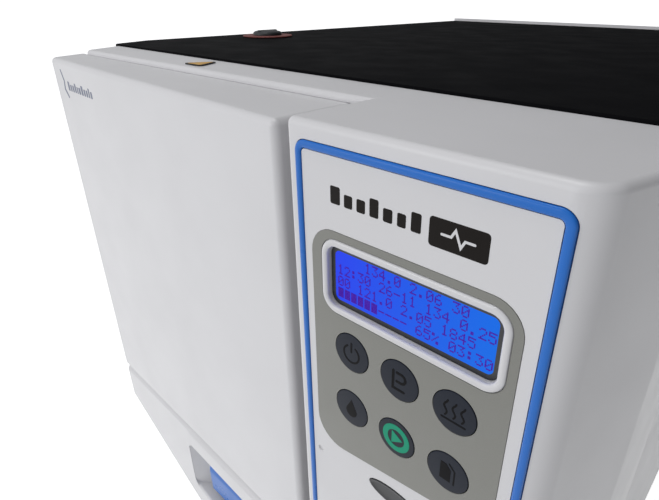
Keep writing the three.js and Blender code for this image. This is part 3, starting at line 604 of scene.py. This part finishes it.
def housing_plan(back_y):
    return [
        (CONTROL_LEFT, FACE_Y, 3.3),
        (CONTROL_RIGHT, FACE_Y, 12),
        (HOUSING_HIGH.x, -270, 9),
        (HOUSING_HIGH.x, back_y, 0),
        (HOUSING_LOW.x, back_y, 0),
        (DOOR_LEFT, RECESS_Y, 8),
        (CONTROL_LEFT, RECESS_Y, 0),
    ]


def housing_brow(look):
    """The low brow above the back of the closed door."""
    slant = (HOUSING_LOW.x - DOOR_LEFT) / (HOUSING_HIGH.y - RECESS_Y)
    back_y = RECESS_Y + 12
    corners = [
        (DOOR_LEFT + slant * (BROW_Y - RECESS_Y), BROW_Y, 4),
        (CONTROL_LEFT + 4, BROW_Y, 0),
        (CONTROL_LEFT + 4, back_y, 0),
        (DOOR_LEFT + slant * (back_y - RECESS_Y), back_y, 0),
    ]
    low = box("door_cover")[1].z + 0.15
    return stack("brow", corners, [(low, 0)] + rounded(HOUSING_HIGH.z, EDGE_R - 0.2), look, steps=6)


def trim_corners():
    low, high = box("trim_ring")
    return rectangle(low.x, high.x, low.z, high.z, 5.2)


def keypad_corners():
    low, high = box("keypad_overlay")
    left_low = low.z - 1.6
    right_low = left_low + 14.8
    return [(low.x, left_low, 14), (high.x, right_low, 14), (high.x, high.z, 12), (low.x, high.z, 12)]


def bezel_corners():
    low, high = box("display_bezel")
    return rectangle(low.x, high.x, low.z, high.z, 8)


def ellipse(name, centre, half_width, half_height, levels, look, steps=48):
    """An oval body, smaller by the inset at each (level, inset) pair, facing the front."""
    x, z = centre
    vertices = [
        (x + (half_width - inset) * math.cos(t), level, z + (half_height - inset) * math.sin(t))
        for level, inset in levels
        for t in (2 * math.pi * i / steps for i in range(steps))
    ]
    faces = wall_faces(len(levels), steps, closed=False)
    faces += [tuple(range(steps)), tuple(range(len(vertices) - steps, len(vertices)))]
    return add_mesh(name, vertices, faces, look)


def button_places():
    names = [node for node in BODY_OF if node.startswith("button_")]
    return {node: (box(node)[0] + box(node)[1]) / 2 for node in names}


def make_front_moulding():
    look = LOOKS["white_plastic"]
    levels = rounded(HOUSING_LOW.z, -EDGE_R) + rounded(HOUSING_HIGH.z, EDGE_R)
    shell = stack("front_moulding_shell", housing_plan(HOUSING_HIGH.y), levels, look)
    inside = [(HOUSING_LOW.z + WALL, WALL), (HOUSING_HIGH.z - WALL - 2, WALL)]
    hollow = stack("hollow", housing_plan(HOUSING_HIGH.y + 10), inside, look)
    carve(shell, hollow)
    weld(shell, housing_brow(look))

    cover_low, cover_high = box("top_cover")
    port_low, port_high = box("port_cover")
    port = (port_low + port_high) / 2
    deep = [(FACE_Y - 1, 0), (FACE_Y + 5, 0)]
    tools = [
        block("rebate", (-240, cover_low.y - GAP, cover_high.z - 3.6), (240, -200, cover_high.z + 5), look),
        plug("chamber_hole", 136, RECESS_Y - 5, RECESS_Y + 5, (CHAMBER.x, 0, CHAMBER.z), look),
        block("latch_slot", (76, RECESS_Y - 2, 238), (91, RECESS_Y + 5, 300), look, 1.5),
        turned("hinge_pocket", [(0, 166), (7.5, 166), (7.5, 374), (0, 374)], (-204, -262, 0), look, "z", 48),
        stack("window", bezel_corners(), [(FACE_Y - 1, RIM_WIDTH), (FACE_Y + 5, RIM_WIDTH)], look, facing),
        hoop("groove", trim_corners(), [(-GAP, FACE_Y - 1), (RING_WIDTH + GAP, FACE_Y - 1),
                                        (RING_WIDTH + GAP, FACE_Y + 1.8), (-GAP, FACE_Y + 1.8)], look),
        stack("film_recess", keypad_corners(), [(FACE_Y - 1, -0.15), (FACE_Y + 0.7, -0.15)], look, facing),
        ellipse("port_hole", (port.x, port.z), 14.4, 5.4, deep, look),
        turned("dimple", [(0, FACE_Y - 1), (1.9, FACE_Y - 0.1), (1.3, FACE_Y + 0.8), (0, FACE_Y + 1.1)],
               (CONTROL_X - 46.6, 0, 255.5), look, "y", 24),
    ]
    for node, centre in button_places().items():
        tools.append(plug(node + "_hole", 9.8, FACE_Y - 1, FACE_Y + 5, (centre.x, 0, centre.z), look, 48))
    carve(shell, *tools)
    stands_for(shell, "front_moulding")


make_front_moulding()


# ---- door ----

LIP_LEFT_Z, LIP_RIGHT_Z = 128, 155.5


def lip_z(x):
    """Height of the joint between the door's cover and its lower panel."""
    return LIP_LEFT_Z + (x - DOOR_LEFT) / (DOOR_HIGH.x - DOOR_LEFT) * (LIP_RIGHT_Z - LIP_LEFT_Z)


def smooth_max(a, b, spread):
    return (a + b + math.hypot(a - b, spread)) / 2


def swoop_z(x):
    """Height of the lower panel's bottom edge: a slope that eases into a level."""
    slope = 38 + (-58 - x) * 0.354
    level = 36 - x * 0.034
    return max(smooth_max(slope, level, 6), 34)


def door_plan(back_y=None, flare=DOOR_FLARE):
    right_front = FACE_Y + 2
    back = DOOR_HIGH.y if back_y is None else back_y
    return [
        (DOOR_LEFT, right_front + DOOR_SWEEP, 8),
        (DOOR_HIGH.x, right_front, 3.6),
        (DOOR_HIGH.x, back, 0),
        (DOOR_LEFT - flare, back, 0),
    ]


def make_door_cover():
    look = LOOKS["white_plastic"]
    lower = [
        (lambda x, rise=rise: lip_z(x) + rise, inset)
        for rise, inset in rounded(0, -1.2)
    ]
    deeper = door_plan(DOOR_HIGH.y + 7, DOOR_FLARE * 1.25)  # cut off below, so its back edge stays sharp
    cover = stack("door_cover_shell", deeper, lower + rounded(DOOR_HIGH.z, EDGE_R + 0.5), look)
    inside = [(90, WALL), (DOOR_HIGH.z - WALL, WALL)]
    hollow = stack("hollow", door_plan(DOOR_HIGH.y + 14, DOOR_FLARE * 1.5), inside, look)
    behind = block("behind", (-250, DOOR_HIGH.y, 80), (120, DOOR_HIGH.y + 30, 430), look)
    carve(cover, hollow, behind)
    stands_for(cover, "door_cover")


make_door_cover()


def door_face_y(x):
    """Front of the door, which leans back towards its left end."""
    return FACE_Y + 2 + DOOR_SWEEP * (DOOR_HIGH.x - x) / (DOOR_HIGH.x - DOOR_LEFT)


POCKET_X = (-72, 62)
POCKET_LOW_Z = 66
POCKET_BELOW_LIP = 26
SHALLOW_Y = -290.5  # floor of the pocket, and of its deeper part up to DEEP_TOP
DEEP_Y = -278
DEEP_TOP = 109


def pocket_corners(top=None):
    """Outline of the finger pocket, whose roof follows the lip."""
    (x0, x1), z0 = POCKET_X, POCKET_LOW_Z
    roof = [lip_z(x) - POCKET_BELOW_LIP if top is None else top for x in (x1, x0)]
    return [(x0, z0, 8), (x1, z0, 8), (x1, roof[0], 4), (x0, roof[1], 4)]


def round_rim(obj, inside, radius, facing_y=-0.9, steps=4):
    """Rounds the edges between the front face of obj and the walls of a hole.

    inside says which points belong to the hole's rim.
    """
    work = bmesh.new()
    work.from_mesh(obj.data)
    rim = []
    for edge in work.edges:
        if len(edge.link_faces) == 2:
            fronts = [face.normal.y < facing_y for face in edge.link_faces]
            if fronts.count(True) == 1 and all(inside(v.co / MM) for v in edge.verts):
                rim.append(edge)
    bmesh.ops.bevel(work, geom=rim, offset=radius * MM, segments=steps, profile=0.5, affect="EDGES")
    work.to_mesh(obj.data)
    work.free()


def make_door_lower_panel():
    """The lower panel with its finger pocket, whose left end is a ramp."""
    look = LOOKS["white_plastic"]
    lower = [
        (lambda x, rise=rise: swoop_z(x) + rise, inset)
        for rise, inset in rounded(0, -2.5)
    ]
    upper = [
        (lambda x, rise=rise: lip_z(x) - 1.6 + rise, inset)
        for rise, inset in [(-6.8, 0), (-6, 0.2), (-0.8, 3.2), (-0.2, 3.8), (0, 4.6)]
    ]
    panel = stack("door_lower_panel_shell", door_plan(), lower + upper, look, stride=6)
    pocket = stack("pocket", pocket_corners(), [(-340, 0), (SHALLOW_Y, 0)], look, facing)
    deep = stack("deep", pocket_corners(DEEP_TOP), [(-340, 0), (DEEP_Y, 0)], look, facing)
    left, right = POCKET_X
    ramp = [(left - 4, -311, 0), (left + 18, -290, 0), (left + 18, -270, 0), (left - 4, -270, 0)]
    for hole in (pocket, deep):
        carve(hole, stack("ramp", ramp, [(0, 0), (200, 0)], look))
    seat = plug("seat", 131.5, -287.5, -250, (CHAMBER.x, 0, CHAMBER.z), look)
    liner_room = block("liner_room", (-215, -274.3, 30), (86, -260, 200), look)
    carve(panel, pocket, deep, seat, liner_room)
    round_rim(panel, lambda at: left + 3 < at.x < right + 1 and POCKET_LOW_Z - 1 < at.z, 2.2)
    stands_for(panel, "door_lower_panel")


HANDLE_PIVOT = (-298, 107)  # y and z
HANDLE_X = (-50.5, 40.5)


def make_door_handle():
    """A swinging pull with a rounded fingertip lip, on a pair of short trunnions."""
    look = LOOKS["blue_plastic"]
    y, z = HANDLE_PIVOT
    profile = [
        (y - 3, z + 4, 2.5),
        (y - 6, z - 10, 14),
        (y - 5.6, z - 33.4, 2.6),
        (y + 0.4, z - 34.8, 2.4),
        (y - 0.4, z - 10, 14),
        (y + 4, z - 4, 3),
        (y + 4, z + 4, 2.5),
    ]
    ends = rounded(HANDLE_X[0], -1.6) + rounded(HANDLE_X[1], 1.6)
    handle = stack("door_handle_pull", profile, ends, look, across)
    low, high = box("door_handle")
    pin = [(0, low.x), (2, low.x), (2.2, low.x + 0.4), (2.2, high.x - 0.4), (2, high.x), (0, high.x)]
    weld(handle, turned("trunnions", pin, (0, y, z), look, "x", 32))
    stands_for(handle, "door_handle")


make_door_lower_panel()
make_door_handle()


# ---- control panel ----


def arch(inset0, inset1, level, rise, steps=8):
    """(inset, level) points of a section that arches forward by rise between two insets."""
    middle, half = (inset0 + inset1) / 2, (inset1 - inset0) / 2
    angles = [math.pi * i / steps for i in range(steps + 1)]
    return [(middle - half * math.cos(a), level - rise * math.sin(a) ** 0.8) for a in angles]


def make_trim_ring():
    low, high = box("trim_ring")
    section = [(0, high.y)] + arch(0, RING_WIDTH, low.y + 0.9, 0.9) + [(RING_WIDTH, high.y)]
    stands_for(hoop("trim_ring_bead", trim_corners(), section, LOOKS["blue_plastic"]), "trim_ring", angle=60)


def make_keypad_overlay():
    look = LOOKS["grey_film"]
    low, high = box("keypad_overlay")
    levels = [(high.y, 0), (low.y + 0.08, 0), (low.y, 0.08)]
    film = stack("keypad_film", keypad_corners(), levels, look, facing)
    holes = [
        plug(node + "_hole", 9.5, low.y - 1, high.y + 1, (centre.x, 0, centre.z), look, 64)
        for node, centre in button_places().items()
    ]
    opening = stack("opening", bezel_corners(), [(low.y - 1, -GAP), (high.y + 1, -GAP)], look, facing)
    carve(film, opening, *holes)
    stands_for(film, "keypad_overlay")


def make_display_bezel():
    low, high = box("display_bezel")
    section = [(0, high.y)] + arch(0, RIM_WIDTH, low.y + 1.1, 1.1, 10) + [(RIM_WIDTH, high.y)]
    frame_hoop = hoop("display_frame", bezel_corners(), section, LOOKS["white_gloss"])
    stands_for(frame_hoop, "display_bezel", angle=60)


DOT_PITCH = (0.6, 0.64)
DOT_SIZE = (0.52, 0.56)
CHARACTER_PITCH = (3.55, 5.35)
READOUT = ("    134.0 2.06 30", "12:30 26-11 134 0.25", "00 121.0 2.05 1845", "######---- 65% 03:30")
GLYPHS = {
    "0": "01110 10001 10011 10101 11001 10001 01110",
    "1": "00100 01100 00100 00100 00100 00100 01110",
    "2": "01110 10001 00001 00010 00100 01000 11111",
    "3": "11111 00010 00100 00010 00001 10001 01110",
    "4": "00010 00110 01010 10010 11111 00010 00010",
    "5": "11111 10000 11110 00001 00001 10001 01110",
    "6": "00110 01000 10000 11110 10001 10001 01110",
    "7": "11111 00001 00010 00100 01000 01000 01000",
    "8": "01110 10001 10001 01110 10001 10001 01110",
    "9": "01110 10001 10001 01111 00001 00010 01100",
    ":": "00000 01100 01100 00000 01100 01100 00000",
    ".": "00000 00000 00000 00000 00000 01100 01100",
    "-": "00000 00000 00000 11111 00000 00000 00000",
    "%": "11000 11001 00010 00100 01000 10011 00011",
    "#": "11111 11111 11111 11111 11111 11111 11111",
    " ": "00000 00000 00000 00000 00000 00000 00000",
}


def prism(points, level0, level1, place):
    """Vertices and faces of a flat shape of (a, b) points, between two levels."""
    count = len(points)
    vertices = [place(a, b, level) for level in (level0, level1) for a, b in points]
    faces = wall_faces(2, count, closed=False)
    faces += [tuple(range(count)), tuple(range(count, 2 * count))]
    return vertices, faces


def printed(name, shapes, level, place, look, thick=0.1):
    """Flat shapes printed on a surface: thin closed prisms that stand a little proud of it."""
    vertices, faces = [], []
    for shape in shapes:
        more, sides = prism(shape, level - thick / 2, level + thick / 2, place)
        faces += [tuple(i + len(vertices) for i in side) for side in sides]
        vertices += more
    return add_mesh(name, vertices, faces, look)


def readout_dots(left, top):
    """A small oblong for each lit dot of the four-line display."""
    dots = []
    for row, line in enumerate(READOUT):
        for column, character in enumerate(line):
            for r, bits in enumerate(GLYPHS[character].split()):
                for c, bit in enumerate(bits):
                    if bit == "1":
                        x = left + column * CHARACTER_PITCH[0] + c * DOT_PITCH[0]
                        z = top - row * CHARACTER_PITCH[1] - r * DOT_PITCH[1]
                        right, low = x + DOT_SIZE[0], z - DOT_SIZE[1]
                        dots.append([(x, z), (right, z), (right, low), (x, low)])
    return dots


def make_display():
    """The display behind its bezel: a black surround, the lit glass and its dots."""
    low, high = box("display_bezel")
    glass_y = box("display_module")[0].y
    x0, x1, z0, z1 = low.x + RIM_WIDTH + 1.2, high.x - RIM_WIDTH, low.z + RIM_WIDTH + 0.9, high.z - RIM_WIDTH
    surround = hoop(
        "display_surround", bezel_corners(),
        [(RIM_WIDTH + 0.2, glass_y), (RIM_WIDTH + 2.4, glass_y),
         (RIM_WIDTH + 2.4, glass_y + 1.2), (RIM_WIDTH + 0.2, glass_y + 1.2)], LOOKS["dark_plastic"],
    )
    adds_to(surround, "display_module")
    lit = stack("display_glass", rectangle(x0, x1 - 0.3, z0, z1 - 0.3, 3.4),
                [(glass_y + 3, 0), (glass_y + 0.2, 0), (glass_y + 0.02, 0.2)], LOOKS["display"], facing)
    stands_for(lit, "display_module")
    left = (x0 + x1 - 20 * CHARACTER_PITCH[0]) / 2 + 0.2
    top = (z0 + z1 + 4 * CHARACTER_PITCH[1]) / 2 - 0.3
    dots = printed("display_dots", readout_dots(left, top), glass_y - 0.03, facing, LOOKS["dot_ink"], 0.08)
    adds_to(dots, "display_module")


def arc(centre, radius, start, end, steps=24):
    """Points along an arc, in degrees anticlockwise from the right."""
    angles = [math.radians(start + (end - start) * i / steps) for i in range(steps + 1)]
    return [(centre[0] + radius * math.cos(a), centre[1] + radius * math.sin(a)) for a in angles]


def stroke(points, width):
    """Outline of a printed line through points, mitred at its corners, with round ends."""
    line = [Vector(point) for point in points]
    steps = [(b - a).normalized() for a, b in zip(line, line[1:])]
    left, right = [], []
    for i, point in enumerate(line):
        before = steps[max(i - 1, 0)].orthogonal()
        after = steps[min(i, len(steps) - 1)].orthogonal()
        side = (before + after).normalized()
        side *= width / 2 / side.dot(after)
        left.append(point + side)
        right.append(point - side)
    turns = [Matrix.Rotation(math.pi * k / 6, 2) for k in range(1, 6)]
    end_cap = [line[-1] + turn @ (right[-1] - line[-1]) for turn in turns]
    start_cap = [line[0] + turn @ (left[0] - line[0]) for turn in turns]
    return [[tuple(point) for point in [*right, *end_cap, *left[::-1], *start_cap]]]


def power_sign(x, z):
    return stroke(arc((x, z - 0.4), 4.2, 122, 418, 32), 0.9) + stroke([(x, z + 0.6), (x, z + 5)], 0.9)


def release_sign(x, z):
    """A post with a hooked clamp."""
    hook = [(x - 1, z + 3.6)] + arc((x + 1, z + 1.5), 2.1, 90, -90, 12) + [(x - 1, z - 0.6)]
    post = [(x - 2.8, z + 4), (x - 2.8, z - 4.4), (x + 2.6, z - 4.4)]
    return stroke(post, 1.2) + stroke(hook, 1.2)


def dry_sign(x, z):
    """Three rising waves over a plate."""
    shapes = stroke([(x - 5, z - 4.2), (x + 5, z - 4.2)], 0.8)
    for dx in (-3.6, 0, 3.6):
        wave = [(x + dx + 0.7 * math.sin(k * 0.55), z - 2.6 + k * 0.5) for k in range(15)]
        shapes += stroke(wave, 0.8)
    return shapes


def nature_sign(x, z):
    """A drop."""
    point = [(x, z + 5)]
    return [point + arc((x, z - 1.6), 3.1, 155, 385, 24)]


def start_sign(x, z):
    return [[(x - 2.2, z - 3.4), (x + 3.4, z), (x - 2.2, z + 3.4)]]


def log_sign(x, z):
    """A sheet with a turned-down corner."""
    sheet = [(x - 3.2, z - 4.4), (x + 1.6, z - 4.4), (x + 1.6, z + 2), (x - 0.6, z + 4.4), (x - 3.2, z + 4.4)]
    shadow = [(x + 0.6, z + 5), (x + 3.2, z + 2.4), (x + 3.2, z - 4.4)]
    return [sheet] + stroke(shadow, 0.7)


SIGNS = {
    "button_power": power_sign,
    "button_release": release_sign,
    "button_dry": dry_sign,
    "button_nature": nature_sign,
    "button_start": start_sign,
    "button_log": log_sign,
}


def make_buttons():
    """Low domed keys, flush with the film around them, each with its printed sign."""
    for node, centre in button_places().items():
        low, high = box(node)
        radius = (high.x - low.x) / 2
        profile = [(0, high.y), (3, high.y), (3, low.y + 2.7), (radius, low.y + 2.7), (radius, low.y + 0.35),
                   (radius - 0.12, low.y + 0.12), (radius - 0.4, low.y + 0.04), (0, low.y)]
        place = (centre.x, 0, centre.z)
        stands_for(turned(node + "_key", profile, place, LOOKS["slate_film"], "y", 96), node)
        ink = LOOKS["green_ink" if node == "button_start" else "sign_ink"]
        sign = printed(node + "_sign", SIGNS[node](centre.x, centre.z), low.y, facing, ink, 0.12)
        adds_to(sign, node)
        if node == "button_start":
            back, front = low.y + 0.1, low.y - 0.05
            band = [(4.3, back), (4.3, front), (6.9, front), (6.9, back), (4.3, back)]
            adds_to(turned("start_ring", band, place, ink, "y", 64), node)


def make_port_cover():
    low, high = box("port_cover")
    middle = (low + high) / 2
    half = (high - low) / 2
    levels = [(high.y, 0), (low.y + 0.5, 0), (low.y + 0.15, 0.15), (low.y, 0.5), (low.y + 0.6, 2.4)]
    cover = ellipse("port_lid", (middle.x, middle.z), half.x, half.z, levels, LOOKS["dark_plastic"], 64)
    stands_for(cover, "port_cover")


def word_bars(x0, x1, z0, z1, widths):
    """A row of rounded bars that stands where a name would be."""
    shapes, x = [], x0
    scale = (x1 - x0) / (sum(widths) + 0.5 * (len(widths) - 1))
    for i, width in enumerate(widths):
        end = x + width * scale
        top = z1 if i % 3 == 0 else z0 + (z1 - z0) * 0.72
        shapes.append([tuple(p) for p in outline(rectangle(x, end, z0, top, 0.7), steps=4)])
        x = end + 0.5 * scale
    return shapes


def make_marks():
    """Plain printed marks in place of names, on the housing and on the door."""
    ink = LOOKS["mark_ink"]
    bars = word_bars(CONTROL_X - 36, CONTROL_X + 5.5, 391.3, 398.3, [1.2, 1, 1, 1, 1, 0.9, 1])
    adds_to(printed("housing_bars", bars, FACE_Y, facing, ink), "front_moulding")
    tile = rectangle(CONTROL_X + 8.6, CONTROL_X + 30.4, 388.8, 399.2, 1.4)
    tile_shape = [tuple(point) for point in outline(tile, steps=5)]
    adds_to(printed("housing_tile", [tile_shape], FACE_Y, facing, ink), "front_moulding")
    x, z = CONTROL_X + 19.5, 394
    beat = [(x - 6, z), (x - 2.5, z), (x - 1, z + 2.6), (x + 1.2, z - 2.6), (x + 2.6, z), (x + 6, z)]
    pulse = printed("housing_tile_line", stroke(beat, 0.9), FACE_Y - 0.05, facing, LOOKS["white_plastic"])
    adds_to(pulse, "front_moulding")

    def on_door(a, b, level):
        return (a, door_face_y(a) + level, b)

    squiggle = stroke([(-180, 409), (-176.5, 402), (-178.5, 396), (-173.5, 391)], 2.2)
    line = word_bars(-170, -122, 396, 402.5, [1.2, 1, 1, 1, 0.8, 1.2, 1.2, 1, 1, 0.8, 1])
    mark = printed("door_mark", squiggle + line, 0, on_door, LOOKS["blue_grey_ink"])
    adds_to(mark, "door_cover")


make_trim_ring()
make_keypad_overlay()
make_display_bezel()
make_display()
make_buttons()
make_port_cover()
make_marks()


# ---- top ----


def filler_place():
    low, high = box("filler_collar")
    return ((low.x + high.x) / 2, (low.y + high.y) / 2, 0)


def make_top_cover():
    """A folded steel lid with a soft outer bend and a hole for the filler."""
    look = LOOKS["black_paint"]
    low, high = box("top_cover")
    corners = [
        (low.x + 13, low.y, 3),
        (high.x, low.y, 3),
        (high.x, high.y, 3),
        (low.x, high.y, 3),
        (low.x, HOUSING_HIGH.y, 3),
    ]
    lid = stack("top_lid", corners, [(low.z, 0)] + rounded(high.z, 1.2), look)
    hole = [(0, low.z - 5), (16.5, low.z - 5), (16.5, high.z + 5), (0, high.z + 5)]
    carve(lid, turned("filler_hole", hole, filler_place(), look))
    stands_for(lid, "top_cover")


def make_filler():
    low, high = box("filler_collar")
    top = high.z
    profile = [
        (12.8, low.z), (16, low.z), (16, top - 1.3), (23.6, top - 1.3), (24, top - 0.9), (24, top - 0.5),
        (23.5, top - 0.1), (22.8, top), (15, top), (14.6, top - 0.2), (14.4, top - 0.6), (12.8, top - 0.8),
    ]
    stands_for(turned("filler_rim", profile, filler_place(), LOOKS["red_ring"]), "filler_collar")

    low, high = box("filler_cap")
    look = LOOKS["dark_plastic"]
    dome = [
        (0, low.z), (12.3, low.z), (12.3, high.z - 4.3), (14, high.z - 4.3), (14, high.z - 3),
        (13.4, high.z - 2), (12.1, high.z - 1.3), (9.6, high.z - 0.7), (6, high.z - 0.4), (0, high.z - 0.3),
    ]
    cap = turned("filler_plug", dome, filler_place(), look)
    x, y, _ = filler_place()
    grip = block("grip", (x - 1.6, y - 11, high.z - 2.6), (x + 1.6, y + 11, high.z), look, 0.7)
    stands_for(weld(cap, grip), "filler_cap")


def make_caution_mark():
    """An amber triangle with a dark border and no lettering."""
    low, high = box("caution_mark")
    middle = (low.x + high.x) / 2
    for name, grow, look, slot in (("caution_border", 0, "mark_ink", "dark_plastic"),
                                   ("caution_field", 1.7, "amber_label", "amber_label")):
        corners = [(low.x, low.y, 2.2), (high.x, low.y, 2.2), (middle, high.y + 1.2, 2.2)]
        levels = [(low.z, grow), (high.z - (0 if grow else 0.12), grow)]
        plate = stack(name, corners, levels, LOOKS[look], steps=6)
        if grow:
            stands_for(plate, "caution_mark")
        else:
            adds_to(plate, "caution_mark")


make_top_cover()
make_filler()
make_caution_mark()


# ---- feet, chamber and door inside ----


def make_feet():
    """Rubber feet with a ribbed flank and a dished sole."""
    for node in [name for name in BODY_OF if name.startswith("foot_")]:
        low, high = box(node)
        centre = ((low.x + high.x) / 2, (low.y + high.y) / 2, 0)
        profile = [
            (0, 1.2), (11, 1.2), (12.5, 0), (15.2, 0), (16.2, 0.6), (16.9, 2), (17.4, 4.4), (16.9, 5),
            (17.6, 5.6), (18, 8), (17.5, 8.6), (18.2, 9.2), (18.8, 12), (18.8, high.z), (0, high.z),
        ]
        stands_for(turned(node + "_pad", profile, centre, LOOKS["foot_rubber"]), node)


def make_chamber():
    """The polished vessel with its machined sealing flange."""
    low, high = box("chamber_vessel")
    radius = (high.x - low.x) / 2
    bore, outer = 120, 122.5
    front, end = low.y, high.y
    profile = [
        (0, end), (40, end - 1.6), (75, end - 7), (103, end - 18), (116, end - 29), (outer, end - 40),
        (outer, front + 13), (radius, front + 13), (radius, front + 1), (radius - 1, front),
        (bore + 1.5, front), (bore, front + 1.5), (bore, end - 42), (113.5, end - 31), (101, end - 20.5),
        (74, end - 9.8), (39, end - 4.4), (0, end - 2.8),
    ]
    vessel = turned("chamber_shell", profile, (CHAMBER.x, 0, CHAMBER.z), LOOKS["stainless"], "y", 128)
    stands_for(vessel, "chamber_vessel", angle=25)


def make_pressure_plate():
    """The dished plate that closes the chamber."""
    low, high = box("pressure_plate")
    front, back = low.y, high.y
    profile = [
        (0, front + 4), (68, front + 4), (76, front + 3), (108, front + 0.4), (114, front), (128.5, front),
        (130, front + 1.5), (130, back - 1.5), (128.5, back), (112, back), (110, back - 1.2),
        (60, back - 1.2), (56, back - 2.4), (0, back - 2.4),
    ]
    plate = turned("pressure_dish", profile, (CHAMBER.x, 0, CHAMBER.z), LOOKS["stainless"], "y", 128)
    stands_for(plate, "pressure_plate")


def make_door_seal():
    """A moulded lip seal."""
    low, high = box("door_seal")
    middle = 125
    half_lips = [(4, 2), (3.4, 0.7), (2.2, 0), (1, 0.8)]  # outwards from the middle, down from the tip
    outer = [(middle + out, high.y - down) for out, down in half_lips]
    inner = [(middle - out, high.y - down) for out, down in half_lips[::-1]]
    base = [(middle - 4, low.y), (middle + 4, low.y)]
    profile = base + outer + [(middle, high.y - 2.6)] + inner
    seal = turned("lip_seal", profile, (CHAMBER.x, 0, CHAMBER.z), LOOKS["silicone"], "y", 128)
    stands_for(seal, "door_seal", angle=50)


make_feet()
make_chamber()
make_pressure_plate()
make_door_seal()


# ---- fasteners and the other CAD parts ----


def screw(name, centre, look, radius=3.1, height=1.3):
    """A pan-head screw with a cross recess, its head towards +Y."""
    x, y, z = centre
    profile = [(0, -1), (radius * 0.6, -1), (radius * 0.6, 0.05), (radius, 0.05), (radius, 0.4),
               (radius * 0.9, height * 0.72), (radius * 0.6, height * 0.95), (0, height)]
    head = turned(name, profile, centre, look, "y", 32)
    slots = [
        block("slot", (x - a, y + height - 0.7, z - b), (x + a, y + height + 1, z + b), look)
        for a, b in ((radius * 0.62, 0.35), (0.35, radius * 0.62))
    ]
    return carve(head, *slots)


def make_rear_screws():
    low, high = box("rear_panel")
    places = [(x, z) for x in (low.x + 9, 0, high.x - 9) for z in (low.z + 10, high.z - 12)]
    places += [(x, (low.z + high.z) / 2) for x in (low.x + 9, high.x - 9)]
    fan_low, fan_high = box("fan_frame")
    places += [(x, z) for x in (fan_low.x + 5, fan_high.x - 5) for z in (fan_low.z + 5, fan_high.z - 5)]
    heads = [screw(f"screw_{i}", (x, high.y, z), LOOKS["zinc_steel"]) for i, (x, z) in enumerate(places)]
    adds_to(merge("rear_screws", heads), "rear_panel")


def soften(node, width=0.4):
    """Breaks the sharp edges of a CAD part, as folding, moulding or machining does."""
    edge = frame["nodes"][node].modifiers.new("softened", "BEVEL")
    edge.width = width * MM
    edge.segments = 2
    edge.limit_method = "ANGLE"
    edge.angle_limit = math.radians(40)


def dress_cad_parts():
    """Gives every CAD part that still shows its material, smooth curves and broken edges."""
    for node, part in frame["nodes"].items():
        part.data.materials.clear()
        part.data.materials.append(LOOKS[SLOT_OF[node]])
        if not part.hide_render:
            soften(node)
            smooth(part)


make_rear_screws()
dress_cad_parts()
add_studio()
